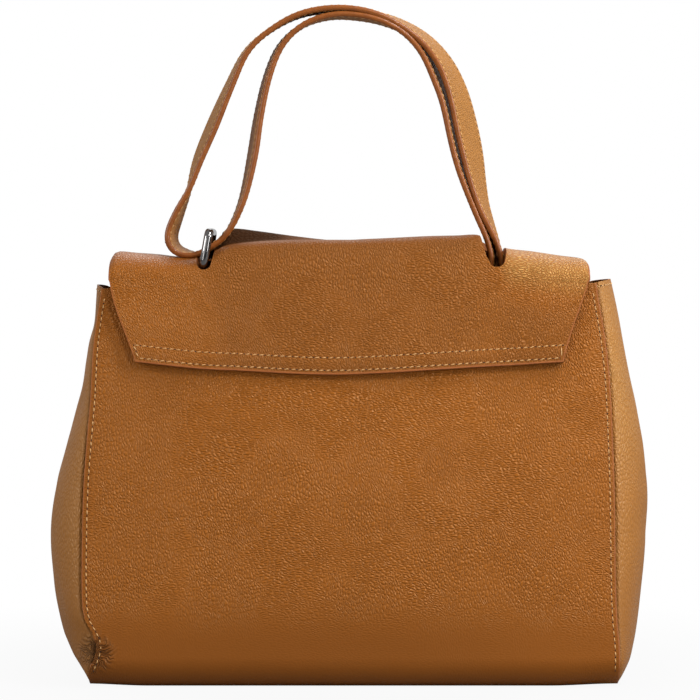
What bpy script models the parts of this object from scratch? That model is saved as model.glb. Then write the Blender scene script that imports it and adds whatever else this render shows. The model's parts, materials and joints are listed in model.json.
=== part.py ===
"""Structured leather handbag with a front flap and one strap threaded through two rings.

Frame: metres, +Z up, +X to the right of someone who looks at the front, front towards -Y.
The origin is the middle of the footprint on the surface that the bag stands on.
"""

import math

import bmesh
import bpy
from mathutils import Matrix, Vector

MM = 0.001

# Clearances
CLEAR = 0.3 * MM  # between pieces that lie on each other
CUT_OVERRUN = 30 * MM  # how far a cutter passes the piece that it cuts
HINGE_SPLIT = 0.4 * MM  # gap between the sewn and the moving part of the flap

# Body: one sheet for front, base and back, between two gussets
OVERALL_HALF_WIDTH = 180 * MM
MOUTH_HEIGHT = 236 * MM
BASE_HALF_DEPTH = 70 * MM
MOUTH_HALF_DEPTH = 29 * MM
BOTTOM_RADIUS = 15 * MM
PANEL_TOP_HALF_WIDTH = 148 * MM
PANEL_BOTTOM_HALF_WIDTH = 157.5 * MM
PANEL_BOW = 1.5 * MM
BELLY = 5 * MM
WRAP_THICKNESS = 2 * MM

# Gussets
GUSSET_THICKNESS = 1.2 * MM
GUSSET_FLANGE = 9 * MM
PANEL_EDGE_LIP = 1 * MM  # the raw panel edge stands out over the gusset fold

# Inside
BOARD_THICKNESS = 2.2 * MM
LINING_THICKNESS = 0.6 * MM
LINING_SIDE_ROOM = 2.6 * MM
FACING_HEIGHT = 36 * MM
FACING_THICKNESS = 1 * MM
RIM_STEP = 0.8 * MM  # lining and facings stop this far below the mouth edge

SLIP_POCKET_HALF_WIDTH = 70 * MM
SLIP_POCKET_BOTTOM = 62 * MM
SLIP_POCKET_HEIGHT = 118 * MM
POCKET_CLOTH = 0.8 * MM

ZIP_BELOW_MOUTH = 60 * MM  # middle of the zip
ZIP_HALF_LENGTH = 92 * MM
ZIP_WINDOW_HALF_HEIGHT = 5 * MM
ZIP_TAPE_HEIGHT = 9 * MM
ZIP_TAPE_THICKNESS = 0.8 * MM
ZIP_SLOT = 3 * MM  # between the two tape edges, filled by the teeth
TOOTH_PITCH = 4 * MM
TOOTH_WIDTH = 1.4 * MM
SLIDER_LENGTH = 9 * MM
SLIDER_HALF_HEIGHT = 3.6 * MM
SLIDER_PLATE = 0.8 * MM
SLIDER_NECK = 2 * MM
BAIL_RISE = 2.6 * MM
BAIL_WIDTH = 1.2 * MM
BAIL_LENGTH = 5 * MM
PULL_LENGTH = 26 * MM
PULL_HALF_HEIGHT = 2.6 * MM
PULL_THICKNESS = 1 * MM
PULL_EYE = 1.2 * MM
ZIP_BAG_DROP = 80 * MM
ZIP_BAG_DEPTH = 2.4 * MM
ZIP_BAG_CLOTH = 0.4 * MM

# Flap
FLAP_OUTER = 1.2 * MM
PLY_GAP = 0.5 * MM  # between the plies of the flap
FLAP_STAY = 0.8 * MM
FLAP_LINING = 0.8 * MM
FLAP_STAND_OFF = 0.7 * MM  # flap lining to front panel
FLAP_TOP_HALF_WIDTH = 143 * MM
FLAP_BOTTOM_HALF_WIDTH = 126.5 * MM
FLAP_DROP = 53.2 * MM  # from the mouth down to the middle of the flap's lower edge
FLAP_CORNER_LIFT = 7 * MM
FLAP_END_INSET = 1.2 * MM  # inner plies stop this far inside the flap's edge
HINGE_ABOVE_MOUTH = 2 * MM
CREST_RISE = 26 * MM  # nominal height of the flap top above the mouth
ROOT_HEIGHT = 34 * MM

# Slots in the flap top that the rings and the strap pass through
LEFT_SLOT_SHARE = 0.6063  # of the flap's half width, from its middle
LEFT_SLOT_RADIUS = 4.4 * MM
LEFT_SLOT_DEPTH = 18 * MM  # below the nominal flap top
LEFT_SLOT_OUTER_FLARE = 1.6 * MM
LEFT_SLOT_INNER_FLARE = 3.6 * MM
RIGHT_SLOT_SHARE = 0.6077
RIGHT_SLOT_RADIUS = 5.6 * MM
RIGHT_SLOT_DEPTH = 16.4 * MM
RIGHT_SLOT_OUTER_FLARE = 2 * MM
RIGHT_SLOT_INNER_FLARE = 6 * MM
SLOT_REAR = 23 * MM

# Magnets and keepers
MAGNET_SHARE = 0.71  # of the flap's lower half width, from its middle
MAGNET_ABOVE_EDGE = 9.66 * MM  # above the flap's lower edge
MAGNET_RADIUS = 4.5 * MM
MAGNET_HOLE_ROOM = 0.5 * MM
KEEPER_RADIUS = 6 * MM
KEEPER_THICKNESS = 1 * MM

# Strap and rings
STRAP_WIDTH = 30 * MM
STRAP_THICKNESS = 2.8 * MM
STRAP_SPAN_SHARE = 0.6993  # of the flap's half width
STRAP_RISE = 138.3 * MM  # front edge of the outer strand above the crest at the top
STRAP_SPLIT_RISE = 40 * MM  # the swinging strands start this far above the crest
HANDLE_AXIS_DROP = 2 * MM  # below the nominal flap top
RING_WIRE_RADIUS = 2.6 * MM
RING_SIDE_ROOM = 1.6 * MM
RING_BAR_SPACING = 17 * MM
LEFT_RING_SHIFT = 0.2 * MM  # of its lower bar, outwards from the middle of the slot
LEFT_RING_DROP = 14.5 * MM  # of its lower bar, below the nominal flap top
LEFT_RING_LEAN = 11
RIGHT_RING_SHIFT = 0.9 * MM  # of its upper bar, inwards from the middle of the slot
RIGHT_RING_DROP = 21 * MM  # of its upper bar, below the nominal flap top
RIGHT_RING_LEAN = 45
RING_CORNER_RADIUS = 4 * MM

# Chapes: folded leather loops that hold the rings
CHAPE_THICKNESS = 1 * MM
CHAPE_HALF_WIDTH = 13 * MM
CHAPE_PLY_GAP = 0.3 * MM
CHAPE_SEWN = 26 * MM
LEFT_CHAPE_NECK = 24.9 * MM  # along X from the ring to the start of the seam
RIGHT_CHAPE_NECK = 26 * MM

# Derived sizes
CREST_HEIGHT = MOUTH_HEIGHT + CREST_RISE
HINGE_HEIGHT = MOUTH_HEIGHT + HINGE_ABOVE_MOUTH
ZIP_HEIGHT = MOUTH_HEIGHT - ZIP_BELOW_MOUTH
FLAP_CENTRE_BOTTOM = MOUTH_HEIGHT - FLAP_DROP
LEFT_SLOT_X = -LEFT_SLOT_SHARE * FLAP_TOP_HALF_WIDTH
LEFT_SLOT_FLOOR = CREST_HEIGHT - LEFT_SLOT_DEPTH
RIGHT_SLOT_X = RIGHT_SLOT_SHARE * FLAP_TOP_HALF_WIDTH
RIGHT_SLOT_FLOOR = CREST_HEIGHT - RIGHT_SLOT_DEPTH
MAGNET_X = MAGNET_SHARE * FLAP_BOTTOM_HALF_WIDTH
MAGNET_HEIGHT = FLAP_CENTRE_BOTTOM + FLAP_CORNER_LIFT * MAGNET_SHARE ** 2 + MAGNET_ABOVE_EDGE
STRAP_SPAN = STRAP_SPAN_SHARE * FLAP_TOP_HALF_WIDTH
HANDLE_AXIS_HEIGHT = CREST_HEIGHT - HANDLE_AXIS_DROP
LEFT_RING_BAR_X = LEFT_SLOT_X - LEFT_RING_SHIFT
LEFT_RING_BAR_HEIGHT = CREST_HEIGHT - LEFT_RING_DROP
RIGHT_RING_UPPER_X = RIGHT_SLOT_X - RIGHT_RING_SHIFT
RIGHT_RING_UPPER_HEIGHT = CREST_HEIGHT - RIGHT_RING_DROP
LEFT_CHAPE_SEWN_START = LEFT_RING_BAR_X + LEFT_CHAPE_NECK
RIGHT_CHAPE_SEWN_START = RIGHT_RING_UPPER_X - RIGHT_CHAPE_NECK
PANEL_SLOPE = (BASE_HALF_DEPTH - MOUTH_HALF_DEPTH) / (MOUTH_HEIGHT - BOTTOM_RADIUS)
PANEL_TILT = math.atan(PANEL_SLOPE)
FLANGE_INSET = WRAP_THICKNESS + CLEAR
LINING_INSET = FLANGE_INSET + GUSSET_THICKNESS + CLEAR
LINING_INNER_INSET = LINING_INSET + LINING_THICKNESS
FACING_INSET = LINING_INNER_INSET + CLEAR
LINING_FLOOR = WRAP_THICKNESS + CLEAR + BOARD_THICKNESS + CLEAR
STAY_INSET = FLAP_OUTER + PLY_GAP
FLAP_LINING_INSET = STAY_INSET + FLAP_STAY + PLY_GAP
FLAP_STACK = FLAP_LINING_INSET + FLAP_LINING
FLAP_STAND = FLAP_STACK + FLAP_STAND_OFF
ARCH_FRONT = MOUTH_HALF_DEPTH + FLAP_STAND
ARCH_BACK = MOUTH_HALF_DEPTH + CLEAR + FLAP_OUTER
RING_HALF_WIDTH = STRAP_WIDTH / 2 + RING_SIDE_ROOM + RING_WIRE_RADIUS
STRAP_BEND = RING_WIRE_RADIUS + CLEAR + STRAP_THICKNESS / 2

# Shares chosen by hand
ROW_SHARES = (0.0, 0.06, 0.15, 0.27, 0.42, 0.55, 0.68, 0.8, 0.91, 1.0)
BULGE_SHARES = ((-0.07, 0.25), (0.0, 0.46), (0.06, 0.58), (0.15, 0.76), (0.27, 0.92), (0.42, 1.0),
                (0.55, 0.84), (0.68, 0.56), (0.8, 0.41), (0.91, 0.31), (1.0, 0.24))
WIDEST_SHARE = 0.42
CREST_SHARES = ((-1.0, 0.72), (-0.82, 0.64), (-0.74, 0.59), (-0.62, 0.60), (-0.57, 0.76),
                (-0.52, 0.87), (-0.44, 0.94), (-0.3, 0.97), (0.0, 0.98), (0.25, 1.05),
                (0.45, 1.09), (0.53, 1.10), (0.58, 0.98), (0.65, 0.80), (0.74, 0.74),
                (0.91, 0.60), (1.0, 0.53))
FLAP_COLUMN_SHARES = (-1.0, -0.91, -0.82, -0.74, -0.68, -0.62, -0.57, -0.52, -0.44, -0.3, -0.15,
                      0.0, 0.13, 0.25, 0.35, 0.45, 0.53, 0.58, 0.65, 0.74, 0.82, 0.91, 1.0)
ARCH_POWER_SHARE = 0.5  # superellipse of the flap's cross-section: flat top, round edges
PANEL_CELLS = 11
GUSSET_CELLS = 10
GUSSET_POWER_SHARE = 0.7  # below 1, the gusset bulges out round from its seams
GUSSET_CROWDING_SHARE = 0.6  # how far its columns crowd towards the seams
ARC_STEPS = 4
ARCH_STEPS = 10
FLAP_FRONT_STEPS = 5
STRAP_STEPS = 3
RING_SIDES = 8
RING_CORNER_STEPS = 4
DISC_SIDES = 20

# Front edge of the strap: share of STRAP_SPAN along X, share of STRAP_RISE above the crest, and the
# sine of the strap's twist there, plus where its rear edge stands outwards of the loop
OUTER_STRAND_SHARES = ((-0.980, -0.062, -0.08), (-1.040, -0.052, -0.10), (-1.080, -0.028, -0.12),
                       (-1.092, 0.012, -0.12), (-1.077, 0.058, -0.12), (-1.030, 0.135, -0.06),
                       (-0.961, 0.215, 0.06), (-0.890, 0.337, 0.18), (-0.795, 0.490, 0.22),
                       (-0.700, 0.665, 0.16), (-0.600, 0.820, 0.10), (-0.430, 0.925, 0.06),
                       (-0.266, 0.981, 0.03), (-0.075, 1.000, 0.0), (0.110, 0.984, 0.04),
                       (0.268, 0.942, 0.12), (0.421, 0.860, 0.22), (0.528, 0.749, 0.32),
                       (0.590, 0.625, 0.40), (0.634, 0.474, 0.45), (0.680, 0.349, 0.42),
                       (0.730, 0.250, 0.34), (0.786, 0.150, 0.24), (0.852, 0.060, 0.14),
                       (0.895, -0.020, 0.06))
INNER_STRAND_SHARES = ((-0.920, -0.055, -0.04), (-0.860, -0.030, 0.0), (-0.790, -0.002, 0.02),
                       (-0.725, 0.040, 0.05), (-0.660, 0.120, 0.08), (-0.610, 0.220, 0.12),
                       (-0.560, 0.375, 0.16), (-0.530, 0.530, 0.14), (-0.480, 0.700, 0.12),
                       (-0.405, 0.835, 0.10), (-0.280, 0.925, 0.06), (-0.120, 0.968, 0.02),
                       (0.030, 0.970, 0.0), (0.180, 0.945, 0.02), (0.320, 0.882, 0.08),
                       (0.425, 0.795, 0.14), (0.500, 0.685, 0.20), (0.545, 0.560, 0.24),
                       (0.588, 0.435, 0.26), (0.635, 0.300, 0.24), (0.690, 0.180, 0.18),
                       (0.748, 0.078, 0.10), (0.795, -0.020, 0.04))


def clear_scene():
    for old in list(bpy.data.objects):
        bpy.data.objects.remove(old, do_unlink=True)


def make_material(name, colour, roughness, metallic=0.0):
    material = bpy.data.materials.new(name)
    material.use_nodes = True
    shader = material.node_tree.nodes["Principled BSDF"]
    shader.inputs["Base Color"].default_value = (*colour, 1.0)
    shader.inputs["Roughness"].default_value = roughness
    shader.inputs["Metallic"].default_value = metallic
    return material


TAN = (0.33, 0.11, 0.02)
LIGHT_TAN = (0.45, 0.20, 0.05)
EDGE_BROWN = (0.22, 0.06, 0.02)
CLOTH = (0.30, 0.20, 0.11)
BOARD = (0.25, 0.18, 0.12)
GUNMETAL = (0.10, 0.10, 0.11)
BRASS = (0.55, 0.40, 0.16)


def add_object(name, bm, colour, roughness=0.5, metallic=0.0, smooth=True):
    """Make a named object with its own material from a bmesh."""
    mesh = bpy.data.meshes.new(name)
    bm.to_mesh(mesh)
    bm.free()
    item = bpy.data.objects.new(name, mesh)
    bpy.context.scene.collection.objects.link(item)
    mesh.materials.append(make_material(name + "_material", colour, roughness, metallic))
    if smooth:
        mesh.shade_smooth()
        mesh.set_sharp_from_angle(angle=math.radians(35))
    return item


def thicken(item, thickness):
    """Give a sheet its thickness on the side that its normals point away from."""
    solid = item.modifiers.new("Thickness", "SOLIDIFY")
    solid.thickness = thickness
    solid.offset = -1.0
    solid.use_even_offset = True
    return item


def cut(item, cutter):
    boolean = item.modifiers.new("Cut", "BOOLEAN")
    boolean.operation = "DIFFERENCE"
    boolean.solver = "EXACT"
    boolean.object = cutter


def add_cutter(name, bm):
    bmesh.ops.recalc_face_normals(bm, faces=bm.faces)
    cutter = add_object(name, bm, TAN)
    cutter.hide_render = True
    cutter.display_type = "WIRE"
    return cutter


def grid_sheet(rows):
    """A sheet of quads through rows of points; normals follow (next column) x (next row)."""
    bm = bmesh.new()
    lines = [[bm.verts.new(point) for point in row] for row in rows]
    for low, high in zip(lines, lines[1:]):
        for i in range(len(low) - 1):
            bm.faces.new((low[i], low[i + 1], high[i + 1], high[i]))
    return bm, lines


def table_value(shares, at):
    """Straight-line value of a table of shares."""
    for (a, value_a), (b, value_b) in zip(shares, shares[1:]):
        if at <= b:
            return value_a + (value_b - value_a) * (at - a) / (b - a)
    return shares[-1][1]


# Form of the body

def half_width(z):
    t = z / MOUTH_HEIGHT
    straight = PANEL_BOTTOM_HALF_WIDTH + (PANEL_TOP_HALF_WIDTH - PANEL_BOTTOM_HALF_WIDTH) * t
    return straight + PANEL_BOW * 4 * t * (1 - t)


def half_depth(z, inset=0.0):
    """Half depth of the body at a height, measured at the panel's side edges."""
    if z >= BOTTOM_RADIUS:
        return BASE_HALF_DEPTH - PANEL_SLOPE * (z - BOTTOM_RADIUS) - inset
    down = BOTTOM_RADIUS - z
    radius = BOTTOM_RADIUS - inset
    return BASE_HALF_DEPTH - BOTTOM_RADIUS + math.sqrt(max(radius * radius - down * down, 0))


def wall_share(z):
    """Share of the way from the rounded bottom edge to the mouth."""
    return (z - BOTTOM_RADIUS) / (MOUTH_HEIGHT - BOTTOM_RADIUS)


def belly(x, z):
    t = min(max(wall_share(z), 0), 1)
    across = x / half_width(z)
    return BELLY * 4 * t * (1 - t) * max(1 - across * across, 0)


WIDEST_HEIGHT = BOTTOM_RADIUS + WIDEST_SHARE * (MOUTH_HEIGHT - BOTTOM_RADIUS)
GUSSET_BULGE = OVERALL_HALF_WIDTH - half_width(WIDEST_HEIGHT) + PANEL_EDGE_LIP


def side_x(y, z, depth, power):
    """Face of the right side wall; a lower power makes a fuller, rounder bulge."""
    bulge = GUSSET_BULGE * table_value(BULGE_SHARES, wall_share(z))
    across = min(abs(y / depth), 1)
    return half_width(z) - PANEL_EDGE_LIP + bulge * (1 - across * across) ** power


def across_shares(cells, share):
    """Shares from -1 to 1, drawn towards both ends by share."""
    out = []
    for i in range(cells + 1):
        even = 2 * i / cells - 1
        out.append(even * (1 - share) + math.sin(math.pi / 2 * even) * share)
    return out


def row_heights(floor, top):
    """Heights of the rows of a wall: close together round the bottom edge, wider above it."""
    rows = []
    for step in range(ARC_STEPS):
        angle = math.pi / 2 * step / ARC_STEPS
        rows.append(BOTTOM_RADIUS - (BOTTOM_RADIUS - floor) * math.cos(angle))
    return rows + [BOTTOM_RADIUS + share * (top - BOTTOM_RADIUS) for share in ROW_SHARES]


def body_wrap():
    profile = [(half_depth(z), z) for z in reversed(row_heights(0, MOUTH_HEIGHT))]
    front = [(-y, z) for y, z in profile]
    back = [(y, z) for y, z in reversed(profile)]
    rows = []
    for y, z in front + back:
        side = 1 if y > 0 else -1
        xs = [half_width(z) * (2 * i / PANEL_CELLS - 1) for i in range(PANEL_CELLS + 1)]
        rows.append([(x, y + side * belly(x, z), z) for x in reversed(xs)])
    bm, _ = grid_sheet(rows)
    thicken(add_object("body_wrap", bm, TAN, 0.45), WRAP_THICKNESS)


def gusset(name, side):
    rows = []
    for z in reversed(row_heights(FLANGE_INSET, MOUTH_HEIGHT)):
        depth = half_depth(z, FLANGE_INSET)
        ys = [depth * share for share in across_shares(GUSSET_CELLS, GUSSET_CROWDING_SHARE)]
        rows.append([(side * side_x(y, z, depth, GUSSET_POWER_SHARE), side * y, z) for y in ys])
    bm, lines = grid_sheet([list(reversed(row)) for row in rows])
    rim_verts = {vert for line in lines for vert in (line[0], line[-1])} | set(lines[-1])
    rim = [edge for edge in bm.edges if edge.is_boundary and set(edge.verts) <= rim_verts
           and not set(edge.verts) <= set(lines[0])]
    folded = bmesh.ops.extrude_edge_only(bm, edges=rim)["geom"]
    moved = [item for item in folded if isinstance(item, bmesh.types.BMVert)]
    for vert in moved:
        vert.co.x -= side * GUSSET_FLANGE
    thicken(add_object(name, bm, LIGHT_TAN, 0.5), GUSSET_THICKNESS)


def base_board():
    half_x = half_width(0) - PANEL_EDGE_LIP - GUSSET_FLANGE - WRAP_THICKNESS
    half_y = BASE_HALF_DEPTH - BOTTOM_RADIUS
    bm = bmesh.new()
    bmesh.ops.create_cube(bm, size=1.0)
    bmesh.ops.scale(bm, vec=(2 * half_x, 2 * half_y, BOARD_THICKNESS), verts=bm.verts)
    middle = WRAP_THICKNESS + CLEAR + BOARD_THICKNESS / 2
    bmesh.ops.translate(bm, vec=(0, 0, middle), verts=bm.verts)
    add_object("base_board", bm, BOARD, 0.9, smooth=False)


def lining():
    rings = []
    for z in row_heights(LINING_FLOOR, MOUTH_HEIGHT - RIM_STEP):
        depth = half_depth(z, LINING_INSET)
        outline = half_depth(z, FLANGE_INSET)
        ys = [depth * share for share in across_shares(GUSSET_CELLS, 0)]
        right = [(side_x(y, z, outline, 1) - LINING_SIDE_ROOM, y, z) for y in ys]
        left = [(-x, -y, z) for x, y, z in right]
        rings.append(right + left)
    bm = bmesh.new()
    lines = [[bm.verts.new(point) for point in ring] for ring in rings]
    count = len(lines[0])
    for low, high in zip(lines, lines[1:]):
        for i in range(count):
            j = (i + 1) % count
            bm.faces.new((low[i], low[j], high[j], high[i]))
    bm.faces.new(list(reversed(lines[0])))
    item = thicken(add_object("lining", bm, CLOTH, 0.9), LINING_THICKNESS)
    cut(item, zip_window_cutter())


def inner_sheet(name, side, low, high, half_x, inset, thickness, colour):
    """A flat sheet that lies along the inner face of the front (side -1) or back (side +1) lining."""
    rows = []
    for z in (high, low):
        y = side * half_depth(z, inset)
        rows.append([(-side * half_x(z), y, z), (side * half_x(z), y, z)])
    bm, _ = grid_sheet(rows)
    return thicken(add_object(name, bm, colour, 0.7), thickness)


def facings():
    def half_x(z):
        return half_width(z) - GUSSET_FLANGE

    high = MOUTH_HEIGHT - RIM_STEP
    for name, side in (("facing_front", -1), ("facing_back", 1)):
        inner_sheet(name, side, high - FACING_HEIGHT, high, half_x, FACING_INSET,
                    FACING_THICKNESS, TAN)


def slip_pocket():
    inner_sheet("slip_pocket", -1, SLIP_POCKET_BOTTOM, SLIP_POCKET_BOTTOM + SLIP_POCKET_HEIGHT,
                lambda z: SLIP_POCKET_HALF_WIDTH, FACING_INSET, POCKET_CLOTH, CLOTH)


# Zip pocket: built flat in its own frame, then laid on the back lining.
# In that frame X runs along the zip, Y up the slope and Z points into the bag.

def zip_frame():
    outer = half_depth(ZIP_HEIGHT, LINING_INNER_INSET)
    lean = Matrix.Rotation(math.pi / 2 + PANEL_TILT, 4, "X")
    return Matrix.Translation((0, outer, ZIP_HEIGHT)) @ lean


def box(bm, x0, x1, y0, y1, z0, z1):
    made = bmesh.ops.create_cube(bm, size=1.0)["verts"]
    bmesh.ops.scale(bm, vec=(x1 - x0, y1 - y0, z1 - z0), verts=made)
    bmesh.ops.translate(bm, vec=((x0 + x1) / 2, (y0 + y1) / 2, (z0 + z1) / 2), verts=made)
    return made


def zip_window_cutter():
    bm = bmesh.new()
    box(bm, -ZIP_HALF_LENGTH, ZIP_HALF_LENGTH, -ZIP_WINDOW_HALF_HEIGHT, ZIP_WINDOW_HALF_HEIGHT,
        -LINING_INSET, LINING_INSET)
    bmesh.ops.transform(bm, matrix=zip_frame(), verts=bm.verts)
    return add_cutter("zip_window_cutter", bm)


def zip_tape(name, side):
    """One tape with its row of teeth; the two rows interlock half a pitch apart."""
    bottom = CLEAR
    edge = ZIP_SLOT / 2
    end = ZIP_HALF_LENGTH + ZIP_TAPE_HEIGHT / 2
    rows_y = (side * (edge + ZIP_TAPE_HEIGHT), side * edge)
    teeth = int((2 * ZIP_HALF_LENGTH - 2 * SLIDER_LENGTH) / TOOTH_PITCH)
    shift = 0 if side > 0 else TOOTH_PITCH / 2
    start = -ZIP_HALF_LENGTH + shift
    xs = [-end]
    tooth_starts = []
    for i in range(teeth):
        tooth_starts.append(len(xs))
        xs.append(start + i * TOOTH_PITCH)
        xs.append(start + i * TOOTH_PITCH + TOOTH_WIDTH)
    xs.append(end)
    bm = bmesh.new()
    outer = [bm.verts.new((x, rows_y[0], bottom)) for x in (xs[0], xs[-1])]
    inner = [bm.verts.new((x, rows_y[1], bottom)) for x in xs]
    bm.faces.new(outer + list(reversed(inner)))
    bmesh.ops.recalc_face_normals(bm, faces=bm.faces)
    flat = bm.faces[:]
    lifted = bmesh.ops.extrude_face_region(bm, geom=flat)["geom"]
    top = [item for item in lifted if isinstance(item, bmesh.types.BMVert)]
    bmesh.ops.translate(bm, vec=(0, 0, ZIP_TAPE_THICKNESS), verts=top)
    bmesh.ops.recalc_face_normals(bm, faces=bm.faces)
    starts = [xs[i] for i in tooth_starts]
    reach = ZIP_SLOT - CLEAR
    tooth_faces = []
    for face in bm.faces:
        centre = face.calc_center_median()
        near_edge = abs(centre.y - rows_y[1]) < CLEAR / 2 and abs(face.normal.y) > 0.5
        if near_edge and any(abs(centre.x - at - TOOTH_WIDTH / 2) < CLEAR / 2 for at in starts):
            tooth_faces.append(face)
    grown = bmesh.ops.extrude_discrete_faces(bm, faces=tooth_faces)["faces"]
    for face in grown:
        bmesh.ops.translate(bm, vec=(0, -side * reach, 0), verts=face.verts[:])
    bmesh.ops.transform(bm, matrix=zip_frame(), verts=bm.verts)
    bmesh.ops.recalc_face_normals(bm, faces=bm.faces)
    add_object(name, bm, BRASS, 0.4, smooth=False)


def zip_bag():
    """A flat pouch behind the lining, open towards the zip window."""
    half_x = ZIP_HALF_LENGTH + ZIP_TAPE_HEIGHT / 2
    top = ZIP_WINDOW_HALF_HEIGHT + ZIP_TAPE_HEIGHT / 2
    near = -LINING_THICKNESS - CLEAR
    bm = bmesh.new()
    box(bm, -half_x, half_x, -ZIP_BAG_DROP, top, near - ZIP_BAG_DEPTH, near)
    bmesh.ops.transform(bm, matrix=zip_frame(), verts=bm.verts)
    item = add_object("zip_pocket_bag", bm, CLOTH, 0.9, smooth=False)
    bm = bmesh.new()
    wall = ZIP_BAG_CLOTH
    box(bm, -half_x + wall, half_x - wall, -ZIP_BAG_DROP + wall, top - wall,
        near - ZIP_BAG_DEPTH + wall, near - wall)
    bmesh.ops.transform(bm, matrix=zip_frame(), verts=bm.verts)
    cut(item, add_cutter("zip_bag_hollow", bm))
    cut(item, bpy.data.objects["zip_window_cutter"])


def zip_slider():
    """Two plates joined by a neck, with a bail on top; at rest past the last teeth."""
    start = ZIP_HALF_LENGTH - SLIDER_LENGTH - CLEAR
    end = start + SLIDER_LENGTH
    tape_top = CLEAR + ZIP_TAPE_THICKNESS
    bm = bmesh.new()
    neck_half = (ZIP_SLOT - 2 * CLEAR) / 2
    low = -SLIDER_PLATE
    lower = 0
    upper = tape_top + CLEAR
    box(bm, start, end, -SLIDER_HALF_HEIGHT, SLIDER_HALF_HEIGHT, low, lower)
    base = add_object("zip_slider", bm, GUNMETAL, 0.3, 1.0, smooth=False)
    frame = zip_frame()
    base.matrix_world = frame
    parts = (
        ("slider_top", (start, end, -SLIDER_HALF_HEIGHT, SLIDER_HALF_HEIGHT,
                        upper, upper + SLIDER_PLATE)),
        ("slider_neck", (end - SLIDER_NECK, end - CLEAR, -neck_half, neck_half,
                         lower - SLIDER_PLATE / 2, upper + SLIDER_PLATE / 2)),
        ("slider_bail", ((start + end - BAIL_LENGTH) / 2, (start + end + BAIL_LENGTH) / 2,
                         -BAIL_WIDTH, BAIL_WIDTH, upper + SLIDER_PLATE / 2,
                         upper + SLIDER_PLATE + BAIL_RISE)),
    )
    for name, sizes in parts:
        bm = bmesh.new()
        box(bm, *sizes)
        tool = add_cutter(name, bm)
        tool.matrix_world = frame
        union = base.modifiers.new("Join", "BOOLEAN")
        union.operation = "UNION"
        union.solver = "EXACT"
        union.object = tool
    bm = bmesh.new()
    eye_low = upper + SLIDER_PLATE + CLEAR
    box(bm, (start + end) / 2 - PULL_EYE, (start + end) / 2 + PULL_EYE, -SLIDER_HALF_HEIGHT,
        SLIDER_HALF_HEIGHT, eye_low, eye_low + BAIL_RISE / 2)
    tool = add_cutter("slider_eye", bm)
    tool.matrix_world = frame
    cut(base, tool)


def zip_pull():
    """A leather-width tab with a pin through the slider's eye, its origin on the pin."""
    start = ZIP_HALF_LENGTH - SLIDER_LENGTH - CLEAR
    middle = start + SLIDER_LENGTH / 2
    upper = CLEAR + ZIP_TAPE_THICKNESS + CLEAR
    pin_z = upper + SLIDER_PLATE + CLEAR + BAIL_RISE / 4
    pin = min(BAIL_RISE / 2, 2 * PULL_EYE) / 2 - CLEAR
    arm = BAIL_WIDTH + CLEAR
    bm = bmesh.new()
    box(bm, -pin / 2, pin / 2, -PULL_HALF_HEIGHT, PULL_HALF_HEIGHT, -pin / 2, pin / 2)
    item = add_object("zip_pull", bm, GUNMETAL, 0.3, 1.0, smooth=False)
    frame = zip_frame() @ Matrix.Translation((middle, 0, pin_z))
    item.matrix_world = frame
    tab_start = math.hypot(BAIL_LENGTH / 2, BAIL_RISE * 3 / 4 - CLEAR) + CLEAR
    parts = (
        ("pull_arm_low", (-pin, tab_start + PULL_EYE, -PULL_HALF_HEIGHT, -arm, -pin / 2 - CLEAR / 2,
                          -pin / 2 - CLEAR / 2 + PULL_THICKNESS)),
        ("pull_arm_high", (-pin, tab_start + PULL_EYE, arm, PULL_HALF_HEIGHT, -pin / 2 - CLEAR / 2,
                           -pin / 2 - CLEAR / 2 + PULL_THICKNESS)),
        ("pull_tab", (tab_start, tab_start + PULL_LENGTH, -PULL_HALF_HEIGHT - CLEAR,
                      PULL_HALF_HEIGHT + CLEAR, -pin / 2 - CLEAR / 4,
                      -pin / 2 - CLEAR / 4 + PULL_THICKNESS)),
    )
    for name, sizes in parts:
        bm = bmesh.new()
        box(bm, *sizes)
        tool = add_cutter(name, bm)
        tool.matrix_world = frame
        union = item.modifiers.new("Join", "BOOLEAN")
        union.operation = "UNION"
        union.solver = "EXACT"
        union.object = tool


# Form of the flap

def crest_height(x):
    return MOUTH_HEIGHT + CREST_RISE * table_value(CREST_SHARES, x / FLAP_TOP_HALF_WIDTH)


def flap_bottom(x):
    across = x / FLAP_BOTTOM_HALF_WIDTH
    return FLAP_CENTRE_BOTTOM + FLAP_CORNER_LIFT * across * across


def flap_half_width(z):
    low = FLAP_CENTRE_BOTTOM + FLAP_CORNER_LIFT
    t = min(max((z - low) / (HINGE_HEIGHT - low), 0), 1)
    return FLAP_BOTTOM_HALF_WIDTH + (FLAP_TOP_HALF_WIDTH - FLAP_BOTTOM_HALF_WIDTH) * t


def arch_point(x, angle, inset):
    """A point over the mouth: angle 0 at the back hinge, pi at the front."""
    across = math.cos(angle)
    up = math.sin(angle)
    reach = (ARCH_BACK if across > 0 else ARCH_FRONT) - inset
    y = math.copysign(abs(across) ** ARCH_POWER_SHARE * reach, across)
    z = HINGE_HEIGHT + (crest_height(x) - inset - HINGE_HEIGHT) * abs(up) ** ARCH_POWER_SHARE
    return (x, y, z)


def front_point(x, t, inset, low_edge):
    """A point on the flap's front: t 0 at the arch, 1 at the bottom edge."""
    z = HINGE_HEIGHT + (low_edge - HINGE_HEIGHT) * t
    y = -(half_depth(min(z, MOUTH_HEIGHT)) + belly(x, min(z, MOUTH_HEIGHT)) + FLAP_STAND - inset)
    return (x, y, z)


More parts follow.
